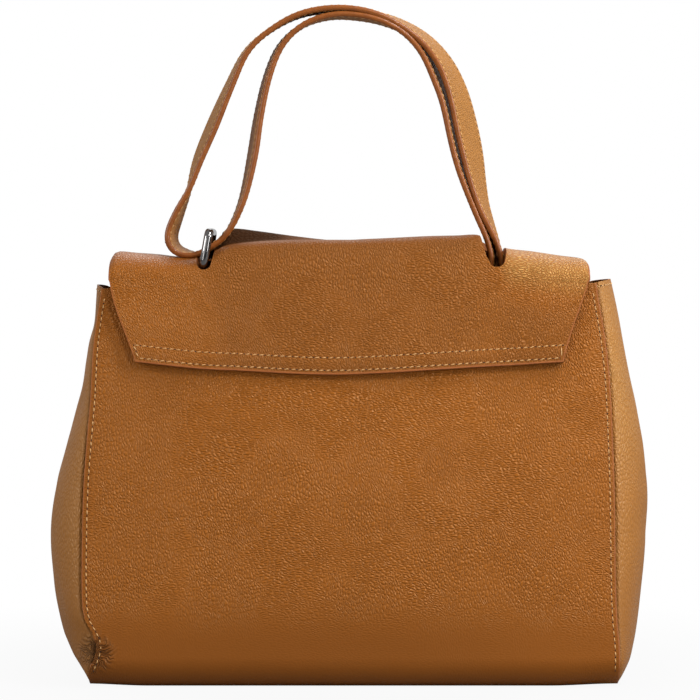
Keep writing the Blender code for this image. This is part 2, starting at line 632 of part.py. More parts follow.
def flap_rows(inset, arch_angles, front_shares, edge_inset, bottom_inset):
    rows = []
    for angle in arch_angles:
        half = FLAP_TOP_HALF_WIDTH - edge_inset
        rows.append([arch_point(half * share, angle, inset) for share in FLAP_COLUMN_SHARES])
    for t in front_shares:
        row = []
        for share in FLAP_COLUMN_SHARES:
            guess = HINGE_HEIGHT + (flap_bottom(share * FLAP_BOTTOM_HALF_WIDTH) - HINGE_HEIGHT) * t
            x = share * (flap_half_width(guess) - edge_inset)
            low = flap_bottom(min(max(x, -FLAP_BOTTOM_HALF_WIDTH), FLAP_BOTTOM_HALF_WIDTH))
            row.append(front_point(x, t, inset, low + bottom_inset))
        rows.append(row)
    return rows


def arch_angles(start=0.0, stop=1.0):
    return [math.pi * (start + (stop - start) * i / ARCH_STEPS) for i in range(ARCH_STEPS + 1)]


def slot_cutter(name, x, radius, floor, left_flare, right_flare):
    """A flared U, run from the front of the flap to the rear end of the slot."""
    top = CREST_HEIGHT + CUT_OVERRUN
    rise = (top - floor - radius) / (CREST_HEIGHT - floor - radius)
    outline = [(x - radius - left_flare * rise, top)]
    for step in range(2 * ARC_STEPS + 1):
        angle = math.pi + math.pi * step / (2 * ARC_STEPS)
        outline.append((x + radius * math.cos(angle), floor + radius + radius * math.sin(angle)))
    outline.append((x + radius + right_flare * rise, top))
    bm = bmesh.new()
    face = bm.faces.new([bm.verts.new((px, SLOT_REAR, pz)) for px, pz in outline])
    made = bmesh.ops.extrude_face_region(bm, geom=[face])["geom"]
    front = [item for item in made if isinstance(item, bmesh.types.BMVert)]
    bmesh.ops.translate(bm, vec=(0, -SLOT_REAR - ARCH_FRONT - CUT_OVERRUN, 0), verts=front)
    return add_cutter(name, bm)


def flap_sheet(name, inset, thickness, angles, fronts, edge_inset, bottom_inset, colour, cutters):
    rows = flap_rows(inset, angles, fronts, edge_inset, bottom_inset)
    bm, _ = grid_sheet([list(reversed(row)) for row in rows])
    item = thicken(add_object(name, bm, colour, 0.5), thickness)
    for cutter in cutters:
        cut(item, cutter)
    return item


def disc(name, radius, thickness, x, y, z, colour, tilt):
    """A round plate with its axis square to the sloping front panel."""
    bm = bmesh.new()
    bmesh.ops.create_cone(bm, cap_ends=True, segments=DISC_SIDES, radius1=radius, radius2=radius,
                          depth=thickness)
    item = add_object(name, bm, colour, 0.3, 1.0)
    item.location = (x, y, z)
    item.rotation_euler = (math.pi / 2 - tilt, 0, 0)
    return item


def flap():
    left = slot_cutter("left_slot_cutter", LEFT_SLOT_X, LEFT_SLOT_RADIUS, LEFT_SLOT_FLOOR,
                       LEFT_SLOT_OUTER_FLARE, LEFT_SLOT_INNER_FLARE)
    right = slot_cutter("right_slot_cutter", RIGHT_SLOT_X, RIGHT_SLOT_RADIUS, RIGHT_SLOT_FLOOR,
                        RIGHT_SLOT_INNER_FLARE, RIGHT_SLOT_OUTER_FLARE)
    fronts = [(i + 1) / FLAP_FRONT_STEPS for i in range(FLAP_FRONT_STEPS)]
    whole = arch_angles()
    flap_sheet("flap_outer", 0.0, FLAP_OUTER, whole, fronts, 0.0, 0.0, TAN, (left, right))
    flap_sheet("flap_lining", FLAP_LINING_INSET, FLAP_LINING, whole, fronts, FLAP_END_INSET,
               FLAP_END_INSET, LIGHT_TAN, (left, right))
    middle = arch_angles(0.12, 0.88)
    flap_sheet("crest_stay", STAY_INSET, FLAP_STAY, middle, [], FLAP_END_INSET, 0.0, BOARD,
               (left, right))
    stay = flap_sheet("flap_stay", STAY_INSET, FLAP_STAY, [], fronts, FLAP_END_INSET,
                      FLAP_END_INSET, BOARD, ())
    for name, side in (("left", -1), ("right", 1)):
        x = side * MAGNET_X
        bulge = belly(x, MAGNET_HEIGHT)
        depth = half_depth(MAGNET_HEIGHT) + bulge
        y = -(depth + FLAP_STAND - STAY_INSET - FLAP_STAY / 2)
        magnet = disc("flap_magnet_" + name, MAGNET_RADIUS, FLAP_STAY, x, y, MAGNET_HEIGHT,
                      GUNMETAL, PANEL_TILT)
        hole = disc("magnet_hole_" + name, MAGNET_RADIUS + MAGNET_HOLE_ROOM, CUT_OVERRUN / 2,
                    magnet.location.x, magnet.location.y, magnet.location.z, GUNMETAL, PANEL_TILT)
        hole.hide_render = True
        hole.display_type = "WIRE"
        cut(stay, hole)
        keeper_y = -(depth - WRAP_THICKNESS - 2 * CLEAR - KEEPER_THICKNESS / 2)
        disc("keeper_" + name, KEEPER_RADIUS, KEEPER_THICKNESS, x, keeper_y, MAGNET_HEIGHT,
             GUNMETAL, PANEL_TILT)


def flap_root():
    """The part of the flap that is sewn to the back panel, below the fold line."""
    top = HINGE_HEIGHT - HINGE_SPLIT
    rows = []
    for z in (top, MOUTH_HEIGHT, MOUTH_HEIGHT - ROOT_HEIGHT / 2, MOUTH_HEIGHT - ROOT_HEIGHT):
        row = []
        for share in FLAP_COLUMN_SHARES:
            x = -share * FLAP_TOP_HALF_WIDTH
            low = min(z, MOUTH_HEIGHT)
            y = half_depth(low) + belly(x, low) + CLEAR + FLAP_OUTER
            row.append((x, y, z))
        rows.append(row)
    bm, _ = grid_sheet(list(reversed(rows)))
    thicken(add_object("flap_root", bm, TAN, 0.5), FLAP_OUTER)


# Rings

def ring_frame(bar_x, bar_z, lean):
    """Frame of a ring: origin on its lower bar, local Z towards its upper bar."""
    return Matrix.Translation((bar_x, 0, bar_z)) @ Matrix.Rotation(math.radians(lean), 4, "Y")


def ring(name, frame):
    half = RING_HALF_WIDTH
    radius = RING_CORNER_RADIUS
    height = RING_BAR_SPACING
    centres = ((half - radius, radius), (half - radius, height - radius),
               (radius - half, height - radius), (radius - half, radius))
    path = []
    for index, (cy, cz) in enumerate(centres):
        for step in range(RING_CORNER_STEPS + 1):
            angle = -math.pi / 2 + math.pi / 2 * (index + step / RING_CORNER_STEPS)
            outward = (math.cos(angle), math.sin(angle))
            path.append((cy + radius * outward[0], cz + radius * outward[1], outward))
    bm = bmesh.new()
    loops = []
    for y, z, outward in path:
        loop = []
        for i in range(RING_SIDES):
            around = 2 * math.pi * (i + 0.5) / RING_SIDES
            out = RING_WIRE_RADIUS * math.cos(around)
            side = RING_WIRE_RADIUS * math.sin(around)
            loop.append(bm.verts.new((side, y + out * outward[0], z + out * outward[1])))
        loops.append(loop)
    for a, b in zip(loops, loops[1:] + loops[:1]):
        for i in range(RING_SIDES):
            j = (i + 1) % RING_SIDES
            bm.faces.new((a[i], a[j], b[j], b[i]))
    bmesh.ops.recalc_face_normals(bm, faces=bm.faces)
    item = add_object(name, bm, GUNMETAL, 0.15, 1.0)
    item.matrix_world = frame


# Strips that run along a path in the XZ plane

def smooth_path(points, steps):
    """Catmull-Rom curve through the points."""
    points = [Vector(p) for p in points]
    ends = [2 * points[0] - points[1]] + points + [2 * points[-1] - points[-2]]
    out = []
    for i in range(1, len(ends) - 2):
        a, b, c, d = ends[i - 1:i + 3]
        for step in range(steps):
            t = step / steps
            out.append(0.5 * ((2 * b) + (c - a) * t + (2 * a - 5 * b + 4 * c - d) * t * t
                              + (3 * b - a - 3 * c + d) * t * t * t))
    out.append(points[-1])
    return out


def band(name, stations, half_width_y, thickness, colour, roughness=0.5):
    """A flat band; each station is (x, z, sine of twist) of its middle line."""
    bm = bmesh.new()
    loops = []
    count = len(stations)
    for i, (x, z, twist) in enumerate(stations):
        before = stations[max(i - 1, 0)]
        after = stations[min(i + 1, count - 1)]
        run = Vector((after[0] - before[0], 0, after[1] - before[1])).normalized()
        normal = Vector((-run.z, 0, run.x))
        across = Vector((0, math.sqrt(1 - twist * twist), 0)) + normal * twist
        up = run.cross(across).normalized()
        middle = Vector((x, 0, z))
        corners = ((-1, -1), (1, -1), (1, 1), (-1, 1))
        loops.append([bm.verts.new(middle + across * (half_width_y * a) + up * (thickness / 2 * b))
                      for a, b in corners])
    for a, b in zip(loops, loops[1:]):
        for i in range(4):
            j = (i + 1) % 4
            bm.faces.new((a[i], a[j], b[j], b[i]))
    bm.faces.new(loops[0])
    bm.faces.new(loops[-1])
    bmesh.ops.recalc_face_normals(bm, faces=bm.faces)
    return add_object(name, bm, colour, roughness)


def strand_middle(shares):
    """Middle line of a strand from the places of its front edge."""
    front = smooth_path([(x * STRAP_SPAN, CREST_HEIGHT + z * STRAP_RISE, twist)
                         for x, z, twist in shares], STRAP_STEPS)
    out = []
    for i, point in enumerate(front):
        before = front[max(i - 1, 0)]
        after = front[min(i + 1, len(front) - 1)]
        run = Vector((after.x - before.x, after.y - before.y)).normalized()
        shift = point.z * STRAP_WIDTH / 2
        out.append((point.x - run.y * shift, point.y + run.x * shift, point.z))
    return out


def between(a, b, share):
    return tuple(p + (q - p) * share for p, q in zip(a, b))


def split_strand(stations):
    """Cut a strand into left end, upper part and right end at the split height."""
    height = CREST_HEIGHT + STRAP_SPLIT_RISE
    gap = CLEAR / 2
    first = next(i for i, s in enumerate(stations) if s[1] > height)
    last = max(i for i, s in enumerate(stations) if s[1] > height)

    def crossing(a, b, at):
        return between(a, b, (at - a[1]) / (b[1] - a[1]))

    left_pair = (stations[first - 1], stations[first])
    right_pair = (stations[last], stations[last + 1])
    left = stations[:first] + [crossing(*left_pair, height - gap)]
    upper = ([crossing(*left_pair, height + gap)] + stations[first:last + 1]
             + [crossing(*right_pair, height + gap)])
    right = [crossing(*right_pair, height - gap)] + stations[last + 1:]
    return left, upper, right


def backwards(stations):
    return [(x, z, -twist) for x, z, twist in reversed(stations)]


def strap():
    outer_left, outer_upper, outer_right = split_strand(strand_middle(OUTER_STRAND_SHARES))
    inner_left, inner_upper, inner_right = split_strand(strand_middle(INNER_STRAND_SHARES))
    bend = []
    for step in range(2 * ARC_STEPS + 1):
        angle = -math.pi * step / (2 * ARC_STEPS)
        bend.append((RIGHT_RING_UPPER_X + STRAP_BEND * math.cos(angle),
                     RIGHT_RING_UPPER_HEIGHT + STRAP_BEND * math.sin(angle), 0.0))
    left = backwards(outer_left) + inner_left
    right = outer_right + bend + backwards(inner_right)
    half = STRAP_WIDTH / 2
    band("strap_outer_strand", outer_upper, half, STRAP_THICKNESS, TAN)
    band("strap_inner_strand", inner_upper, half, STRAP_THICKNESS, TAN)
    band("strap_bend_left", left, half, STRAP_THICKNESS, TAN)
    band("strap_bend_right", right, half, STRAP_THICKNESS, TAN)


def chape(name, bar_x, bar_z, sewn_start, side):
    """One leather band folded round a ring's lower bar; both ends are sewn under the flap top.

    side is the direction along X from the ring to the middle of the bag."""
    inner_turn = RING_WIRE_RADIUS + CLEAR + CHAPE_THICKNESS / 2
    ply = (CHAPE_THICKNESS + CHAPE_PLY_GAP) / 2
    far = sewn_start + side * CHAPE_SEWN
    lowest = min(crest_height(sewn_start + side * CHAPE_SEWN * i / ARCH_STEPS)
                 for i in range(ARCH_STEPS + 1))
    drop = FLAP_STACK + 2 * CLEAR + CHAPE_THICKNESS + CHAPE_PLY_GAP / 2
    edge_sag = (1 - (CHAPE_HALF_WIDTH / (ARCH_BACK - FLAP_STACK)) ** 4) ** 0.25
    top = HINGE_HEIGHT + (lowest - HINGE_HEIGHT) * edge_sag - drop
    start = Vector((sewn_start, top))
    bar = Vector((bar_x, bar_z))
    to_bar = (bar - start).normalized()
    normal = Vector((-to_bar.y, to_bar.x))
    neck = bar - to_bar * (inner_turn * 2)
    upper = [Vector((far, top)), start]
    outward = math.atan2(to_bar.y, to_bar.x)
    turn = []
    for step in range(-3 * ARC_STEPS // 2, 3 * ARC_STEPS // 2 + 1):
        angle = outward + math.radians(100) * step / (3 * ARC_STEPS // 2)
        turn.append(bar + Vector((math.cos(angle), math.sin(angle))) * inner_turn)
    flip = 1 if side < 0 else -1
    if flip < 0:
        turn.reverse()
    lift = Vector((0, ply))
    lean = normal * ply * (1 if normal.y > 0 else -1)
    first = [upper[0] + lift, upper[1] + lift, neck + lean]
    second = [neck - lean, upper[1] - lift, upper[0] - lift]
    if (turn[0] - neck).dot(lean) < 0:
        turn.reverse()
    points = first + turn + second
    band(name, [(p.x, p.y, 0.0) for p in points], CHAPE_HALF_WIDTH, CHAPE_THICKNESS, EDGE_BROWN)


def right_ring_bar():
    """Place of the right ring's lower bar, below the bar that the strap hangs it by."""
    lean = math.radians(RIGHT_RING_LEAN)
    return (RIGHT_RING_UPPER_X - RING_BAR_SPACING * math.sin(lean),
            RIGHT_RING_UPPER_HEIGHT - RING_BAR_SPACING * math.cos(lean))


def rings_and_chapes():
    right_x, right_z = right_ring_bar()
    ring("ring_left", ring_frame(LEFT_RING_BAR_X, LEFT_RING_BAR_HEIGHT, LEFT_RING_LEAN))
    ring("ring_right", ring_frame(right_x, right_z, RIGHT_RING_LEAN))
    chape("chape_left", LEFT_RING_BAR_X, LEFT_RING_BAR_HEIGHT, LEFT_CHAPE_SEWN_START, 1)
    chape("chape_right", right_x, right_z, RIGHT_CHAPE_SEWN_START, -1)


def hang(axis_name, place, turn, names):
    """Parent pieces to an empty that stands on their joint's axis, without moving them."""
    axis = bpy.data.objects.new(axis_name, None)
    bpy.context.scene.collection.objects.link(axis)
    axis.matrix_world = Matrix.Translation(place) @ turn
    bpy.context.view_layer.update()
    for name in names:
        item = bpy.data.objects[name]
        item.parent = axis
        item.matrix_parent_inverse = axis.matrix_world.inverted()


def joint_axes():
    straight = Matrix.Identity(4)
    right_x, right_z = right_ring_bar()
    hang("flap_hinge", (0, ARCH_BACK, HINGE_HEIGHT), straight,
         ("flap_outer", "flap_lining", "crest_stay", "flap_stay", "flap_magnet_left",
          "flap_magnet_right", "chape_left", "chape_right", "strap_bend_left",
          "strap_bend_right"))
    hang("left_ring_axis", (LEFT_RING_BAR_X, 0, LEFT_RING_BAR_HEIGHT), straight, ("ring_left",))
    hang("right_ring_axis", (right_x, 0, right_z), straight, ("ring_right",))
    hang("handle_axis", (0, 0, HANDLE_AXIS_HEIGHT), straight,
         ("strap_outer_strand", "strap_inner_strand"))


def main():
    clear_scene()
    body_wrap()
    gusset("gusset_left", -1)
    gusset("gusset_right", 1)
    base_board()
    lining()
    facings()
    slip_pocket()
    zip_bag()
    zip_tape("zip_tape_upper", 1)
    zip_tape("zip_tape_lower", -1)
    zip_slider()
    zip_pull()
    flap()
    flap_root()
    rings_and_chapes()
    strap()
    joint_axes()


main()
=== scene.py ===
# %% [markdown]
# # A tan leather handbag
# The CAD model gives the plain solids and the joints. This script dresses them: soft leather
# panels, grain, painted edges, thread, polished rings and a zip pocket. Every size is in metres, in
# the same frame as the CAD: X to the right, the front towards -Y, Z up.

import json
import math
import random

import bmesh
import bpy
from mathutils import Matrix, Vector, noise

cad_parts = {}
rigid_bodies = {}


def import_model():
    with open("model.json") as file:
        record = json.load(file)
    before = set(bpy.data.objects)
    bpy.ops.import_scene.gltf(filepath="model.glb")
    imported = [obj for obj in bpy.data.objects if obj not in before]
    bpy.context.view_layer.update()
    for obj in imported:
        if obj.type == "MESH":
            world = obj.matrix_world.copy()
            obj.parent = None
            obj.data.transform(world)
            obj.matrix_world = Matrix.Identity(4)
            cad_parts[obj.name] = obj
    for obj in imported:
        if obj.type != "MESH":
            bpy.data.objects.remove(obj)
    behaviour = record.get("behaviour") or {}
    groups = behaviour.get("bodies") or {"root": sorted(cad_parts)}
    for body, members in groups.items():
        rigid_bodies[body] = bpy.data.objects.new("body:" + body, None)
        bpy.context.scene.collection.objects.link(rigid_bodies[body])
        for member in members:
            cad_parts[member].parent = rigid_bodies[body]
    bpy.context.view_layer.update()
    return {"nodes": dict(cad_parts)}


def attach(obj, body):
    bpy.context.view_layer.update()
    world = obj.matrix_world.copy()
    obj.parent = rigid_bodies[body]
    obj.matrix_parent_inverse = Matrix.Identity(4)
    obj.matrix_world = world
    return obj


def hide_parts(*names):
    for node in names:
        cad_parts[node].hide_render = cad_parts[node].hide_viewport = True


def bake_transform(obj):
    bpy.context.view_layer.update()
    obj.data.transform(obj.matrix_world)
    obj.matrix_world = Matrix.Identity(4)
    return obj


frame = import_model()
MM = 0.001

# %% [markdown]
# ## Camera, lights and floor
# The photograph looks straight at the front from a little above the middle of the bag, through a
# long lens. The strongest lamp stands on the right, because that side is brighter, and a weaker one
# stands on the left. Narrow lamps in front and small ones high up draw the gloss on the grain.
# The floor could be lit until it is white, but that would also bleach the leather. Instead the
# camera sees the floor mixed with plain white, so the bag keeps its own shadow and its colour.

# %% Camera
CAMERA_PLACE = Vector((0, -1.75, 0.2563))
CAMERA_TARGET = Vector((0, 0, 0.1952))

camera_data = bpy.data.cameras.new("photo_camera")
camera_data.lens = 149.1
camera_data.sensor_width = 36
camera = bpy.data.objects.new("photo_camera", camera_data)
camera.location = CAMERA_PLACE
camera.rotation_euler = (CAMERA_TARGET - CAMERA_PLACE).to_track_quat("-Z", "Y").to_euler()
bpy.context.scene.collection.objects.link(camera)
bpy.context.scene.camera = camera
bpy.context.scene.view_settings.view_transform = "Standard"
view_line = CAMERA_TARGET - CAMERA_PLACE
print("camera looks down", round(math.degrees(math.atan2(-view_line.z, view_line.y)), 2), "degrees")


# %% Lights
def softbox(name, place, target, size, watts):
    """A rectangular area lamp that points at a target."""
    lamp = bpy.data.lights.new(name, "AREA")
    lamp.shape = "RECTANGLE"
    lamp.size, lamp.size_y = size
    lamp.energy = watts
    item = bpy.data.objects.new(name, lamp)
    item.location = place
    item.rotation_euler = (Vector(target) - Vector(place)).to_track_quat("-Z", "Y").to_euler()
    bpy.context.scene.collection.objects.link(item)


# Name, place, target, size in metres and power in watts
LAMPS = (("key_right", (1.15, -0.5, 0.75), (0.05, 0, 0.2), (0.4, 0.45), 9.5),
         ("high_front", (0.36, -0.72, 0.98), (0.12, 0, 0.25), (0.2, 0.2), 3),
         ("high_right", (0.46, -0.22, 1.0), (0.15, -0.04, 0.25), (0.2, 0.2), 4.2),
         ("strip_right", (0.95, -1.1, 0.33), (0, 0, 0.25), (0.16, 0.6), 3.8),
         ("strip_left", (-0.95, -1.1, 0.33), (0, 0, 0.25), (0.16, 0.6), 2),
         ("side_left", (-1.15, -0.5, 0.65), (0, 0, 0.2), (0.35, 0.5), 5.4),
         ("back_high", (0, 1.15, 1.2), (0, 0.05, 0.15), (1.2, 0.8), 6))
for lamp_row in LAMPS:
    softbox(*lamp_row)
print("lamps:", len(LAMPS))


# %% Floor and backdrop
def add_node(tree, kind, inputs=None, **settings):
    """Add a shader node; inputs are set by name or number, or linked when they are sockets."""
    made = tree.nodes.new(kind)
    for key, value in settings.items():
        setattr(made, key, value)
    for key, value in (inputs or {}).items():
        socket = made.inputs[key]
        if isinstance(value, bpy.types.NodeSocket):
            tree.links.new(value, socket)
        else:
            socket.default_value = value
    return made


def math_node(tree, operation, first, second=None, third=None):
    inputs = {0: first}
    if second is not None:
        inputs[1] = second
    if third is not None:
        inputs[2] = third
    return add_node(tree, "ShaderNodeMath", inputs, operation=operation).outputs[0]


floor_material = bpy.data.materials.new("pale_floor")
floor_material.use_nodes = True
tree = floor_material.node_tree
tree.nodes.clear()
paper = add_node(tree, "ShaderNodeBsdfDiffuse", {"Color": (0.3, 0.3, 0.3, 1)})
white = add_node(tree, "ShaderNodeEmission", {"Color": (1, 1, 1, 1), "Strength": 1.0})
place = add_node(tree, "ShaderNodeTexCoord").outputs["Object"]
away = add_node(tree, "ShaderNodeVectorMath", {0: place}, operation="LENGTH").outputs["Value"]
wide = add_node(tree, "ShaderNodeMapRange", {"Value": away, "From Min": 0.12, "From Max": 0.4,
                                             "To Min": 0.92, "To Max": 1.0})
seen = add_node(tree, "ShaderNodeLightPath").outputs["Is Camera Ray"]
share = math_node(tree, "MULTIPLY", seen, wide.outputs[0])
blend_floor = add_node(tree, "ShaderNodeMixShader", {0: share, 1: paper.outputs[0],
                                                     2: white.outputs[0]})
add_node(tree, "ShaderNodeOutputMaterial", {"Surface": blend_floor.outputs[0]})

bm = bmesh.new()
bmesh.ops.create_grid(bm, x_segments=1, y_segments=1, size=6)
floor_mesh = bpy.data.meshes.new("floor")
bm.to_mesh(floor_mesh)
bm.free()
floor_mesh.materials.append(floor_material)
floor = bpy.data.objects.new("floor", floor_mesh)
bpy.context.scene.collection.objects.link(floor)

world = bpy.data.worlds.new("studio")
bpy.context.scene.world = world
world.use_nodes = True
tree = world.node_tree
tree.nodes.clear()
rays = add_node(tree, "ShaderNodeLightPath").outputs
MIRRORED_SHARE = 0.35  # the metal mirrors the white room at this share of its strength
ROOM_LIGHT = 0.24  # what the room adds to the lamps
in_metal = math_node(tree, "MULTIPLY", rays["Is Glossy Ray"], MIRRORED_SHARE)
mirrored = math_node(tree, "MAXIMUM", in_metal, rays["Is Transmission Ray"])
seen = math_node(tree, "MAXIMUM", rays["Is Camera Ray"], mirrored)
level = add_node(tree, "ShaderNodeMapRange", {"Value": seen, "To Min": ROOM_LIGHT,
                                              "To Max": 1.0})
sky = add_node(tree, "ShaderNodeBackground", {"Color": (1, 1, 1, 1),
                                              "Strength": level.outputs[0]})
add_node(tree, "ShaderNodeOutputWorld", {"Surface": sky.outputs[0]})
print("the room adds light at a strength of", ROOM_LIGHT)

# %% [markdown]
# ## The form of the bag
# The front, base and back are one sheet of leather, and two gussets close the sides. These
# functions say where that sheet lies. Tables hold places measured from the photograph, and a smooth
# curve runs through each table, because a straight-line table would show as kinks in the outline.

# %% Curves through tables
def along(table, at):
    """Smooth value of a table of (place, value) pairs, flat beyond its ends."""
    if at <= table[0][0]:
        return table[0][1]
    if at >= table[-1][0]:
        return table[-1][1]
    k = next(i for i in range(1, len(table)) if at <= table[i][0])
    (a, p), (b, q) = table[k - 1], table[k]
    before, after = table[max(k - 2, 0)], table[min(k + 1, len(table) - 1)]
    t = (at - a) / (b - a)
    m = (q - before[1]) / (b - before[0]) * (b - a)
    n = (after[1] - p) / (after[0] - a) * (b - a)
    return (p * (2 * t ** 3 - 3 * t * t + 1) + m * (t ** 3 - 2 * t * t + t)
            + q * (3 * t * t - 2 * t ** 3) + n * (t ** 3 - t * t))


def ramp(low, high, at):
    """0 below low, 1 above high, and a soft step between them."""
    t = min(max((at - low) / (high - low), 0.0), 1.0)
    return t * t * (3 - 2 * t)


def in_metres(table):
    return [tuple(value * MM for value in row) for row in table]


# %% Body sizes
MOUTH = 236 * MM
BASE_FLAT = 55 * MM  # half depth of the flat part of the base
BOTTOM_RADIUS = 15 * MM
TILT = math.atan((70 - 29) / (236 - 15))  # half depth 70 mm at the base, 29 mm at the mouth
BELLY = 5 * MM
WALL = 2 * MM
GUSSET_WALL = 1.2 * MM
FLANGE = 9 * MM
LIP = 1 * MM
SEAM_INSET = WALL + 0.3 * MM  # the gusset's flange lies this far under the face of the panel

# Half width of the panel at a height, on the left and on the right of the photograph
LEFT_EDGE = in_metres([(0, 152.5), (8, 152.3), (15, 149.8), (23, 147.8), (31, 149.8), (40, 154.6),
                       (52, 156.6), (90, 157), (118, 156.5), (140, 155.2), (167, 153.3),
                       (197, 152), (215, 150.3), (236, 147.5)])
RIGHT_EDGE = in_metres([(0, 157), (12, 157.2), (23, 157.2), (39, 156), (61, 155.4), (113, 155.4),
                        (150, 154.6), (176, 153.6), (195, 152), (210, 150.1), (225, 147.6),
                        (236, 146.2)])
# Outline of the gussets in the photograph
LEFT_OUTLINE = in_metres([(2, 156), (6, 160), (10, 164), (16, 168.5), (25, 172), (36, 174.6),
                          (55, 178), (79, 180), (95.5, 179.8), (115.5, 177), (136, 171.4),
                          (165, 164.2), (190, 159), (200, 157.4), (214.5, 154), (236, 152.2)])
RIGHT_OUTLINE = in_metres([(2, 160), (8, 165), (15, 168.8), (36, 173.4), (66, 176.6), (91, 179.2),
                           (108, 180), (117, 179.4), (153.5, 174), (187, 167), (214.5, 162),
                           (236, 157)])
# Side edges of the flap where it lies on the front panel
FLAP_LEFT = in_metres([(180, 126.2), (190, 126.8), (205, 132.3), (223, 139.2), (236, 142.3),
                       (244, 143), (300, 143)])
FLAP_RIGHT = in_metres([(180, 125.4), (190, 125.8), (207, 130.8), (223, 136.6), (234.5, 140.6),
                        (244, 142), (300, 142.4)])
FLAP_CORNER_Z = 186 * MM
EDGES = {-1: LEFT_EDGE, 1: RIGHT_EDGE}
OUTLINES = {-1: LEFT_OUTLINE, 1: RIGHT_OUTLINE}
print("the walls lean in by", round(math.degrees(TILT), 1), "degrees")


# %% Where the body sheet lies
ARC_LENGTH = BOTTOM_RADIUS * (math.pi / 2 + TILT)
ARC_END_Y = BASE_FLAT + BOTTOM_RADIUS * math.cos(TILT)
ARC_END_Z = BOTTOM_RADIUS + BOTTOM_RADIUS * math.sin(TILT)
WALL_LENGTH = (MOUTH - ARC_END_Z) / math.cos(TILT)
SHEET_REACH = BASE_FLAT + ARC_LENGTH + WALL_LENGTH


def profile(way):
    """Depth and height of the sheet at a distance from the middle of the base."""
    if way <= BASE_FLAT:
        return way, 0.0
    if way <= BASE_FLAT + ARC_LENGTH:
        angle = (way - BASE_FLAT) / BOTTOM_RADIUS
        return (BASE_FLAT + BOTTOM_RADIUS * math.sin(angle),
                BOTTOM_RADIUS * (1 - math.cos(angle)))
    up = way - BASE_FLAT - ARC_LENGTH
    return ARC_END_Y - math.sin(TILT) * up, ARC_END_Z + math.cos(TILT) * up


def wall_depth(z):
    """Half depth of the body at a height, at the side edges of its panels."""
    if z >= ARC_END_Z:
        return ARC_END_Y - math.tan(TILT) * (z - ARC_END_Z)
    return BASE_FLAT + math.sqrt(max(BOTTOM_RADIUS ** 2 - (BOTTOM_RADIUS - z) ** 2, 0.0))


def belly(x, z):
    """How far the soft panels stand out of the plane through their edges."""
    t = min(max((z - BOTTOM_RADIUS) / (MOUTH - BOTTOM_RADIUS), 0.0), 1.0)
    across = min(abs(x) / (153 * MM), 1.0)
    return BELLY * 4 * t * (1 - t) * (1 - across * across)


def uneven(x, z, seed):
    """Slow waves of a soft sheet, from -1 to 1."""
    return noise.noise(Vector((x / (70 * MM), z / (55 * MM), seed)))


PUCKER = Vector((-148.5 * MM, 20.5 * MM))  # middle of the gathers, seen from the front


def gathers(x, z):
    """How far the leather stands out round the gathers: a dimple with a few broad folds."""
    away = Vector((x, z)) - PUCKER
    reach = away.length
    angle = math.atan2(away.y, away.x) + 0.5 * noise.noise(Vector((x * 200, z * 200, 1.3)))
    folds = ramp(MM, 4 * MM, reach) * (1 - ramp(7 * MM, 13 * MM, reach)) * math.sin(9 * angle)
    return 0.35 * MM * folds - 1.0 * MM * (1 - ramp(2 * MM, 12 * MM, reach))


def body_point(u, way):
    """A point of the body's outer face: u from -1 left to 1 right, way along the sheet."""
    side = 1 if way > 0 else -1
    depth, z = profile(abs(way))
    x = u * along(EDGES[1 if u > 0 else -1], z)
    inside = 1 - ramp(0.86, 1.0, abs(u))
    wave = uneven(x, z, 3.7 * side) * 1.1 * MM * inside * ramp(0, 60 * MM, MOUTH - z)
    lift = 1.9 * MM * ramp(118 * MM, 156 * MM, abs(x)) * ramp(0.5, 1.0, depth / (70 * MM))
    lift *= 1 - ramp(0, 40 * MM, z)
    fold = gathers(x, z) if side < 0 else 0.0
    y = side * (depth + belly(x, z) + wave * ramp(0, 20 * MM, z) + fold)
    return Vector((x, y, z + lift))


def flap_side(side, z):
    return along(FLAP_LEFT if side < 0 else FLAP_RIGHT, z)


def way_at(z):
    """Distance along the sheet, from the middle of the base, of a height on a wall."""
    return BASE_FLAT + ARC_LENGTH + (z - ARC_END_Z) / math.cos(TILT)


print("sheet is", round(2 * SHEET_REACH / MM), "mm long from mouth to mouth")

# %% [markdown]
# ## Leather, edge paint, cloth and metal
# Grained calf leather has small soft pebbles, a little longer than wide, that change in strength
# over the hide. A Voronoi texture that is bent by noise gives them. It reads a flat UV map in
# metres, so the grain keeps its size and follows each piece as it bends. The grain is a node group,
# because each leather piece uses it with its own values.

# %% Helper for colours
def colour(red, green, blue):
    """A colour given as a screen shows it, from 0 to 255, turned into a shader's linear values."""
    def linear(value):
        value /= 255
        return value / 12.92 if value <= 0.04045 else ((value + 0.055) / 1.055) ** 2.4
    return (linear(red), linear(green), linear(blue), 1.0)


def new_group(name, inputs, outputs):
    """A node group with named sockets; returns its tree and its two ends."""
    tree = bpy.data.node_groups.new(name, "ShaderNodeTree")
    for label, kind, value in inputs:
        socket = tree.interface.new_socket(label, in_out="INPUT", socket_type=kind)
        if value is not None:
            socket.default_value = value
    for label, kind in outputs:
        tree.interface.new_socket(label, in_out="OUTPUT", socket_type=kind)
    start = tree.nodes.new("NodeGroupInput")
    end = tree.nodes.new("NodeGroupOutput")
    return tree, start, end


# %% Grain group
GRAIN_BENDS = ((0.022, 9.0), (0.12, 2.0), (0.5, 0.5))  # scale of the noise, reach in millimetres
PEBBLE_LAYERS = ((0.25, (1.0, 0.56, 1.0)), (-0.2, (0.52, 1.05, 1.0)))  # turn, stretch


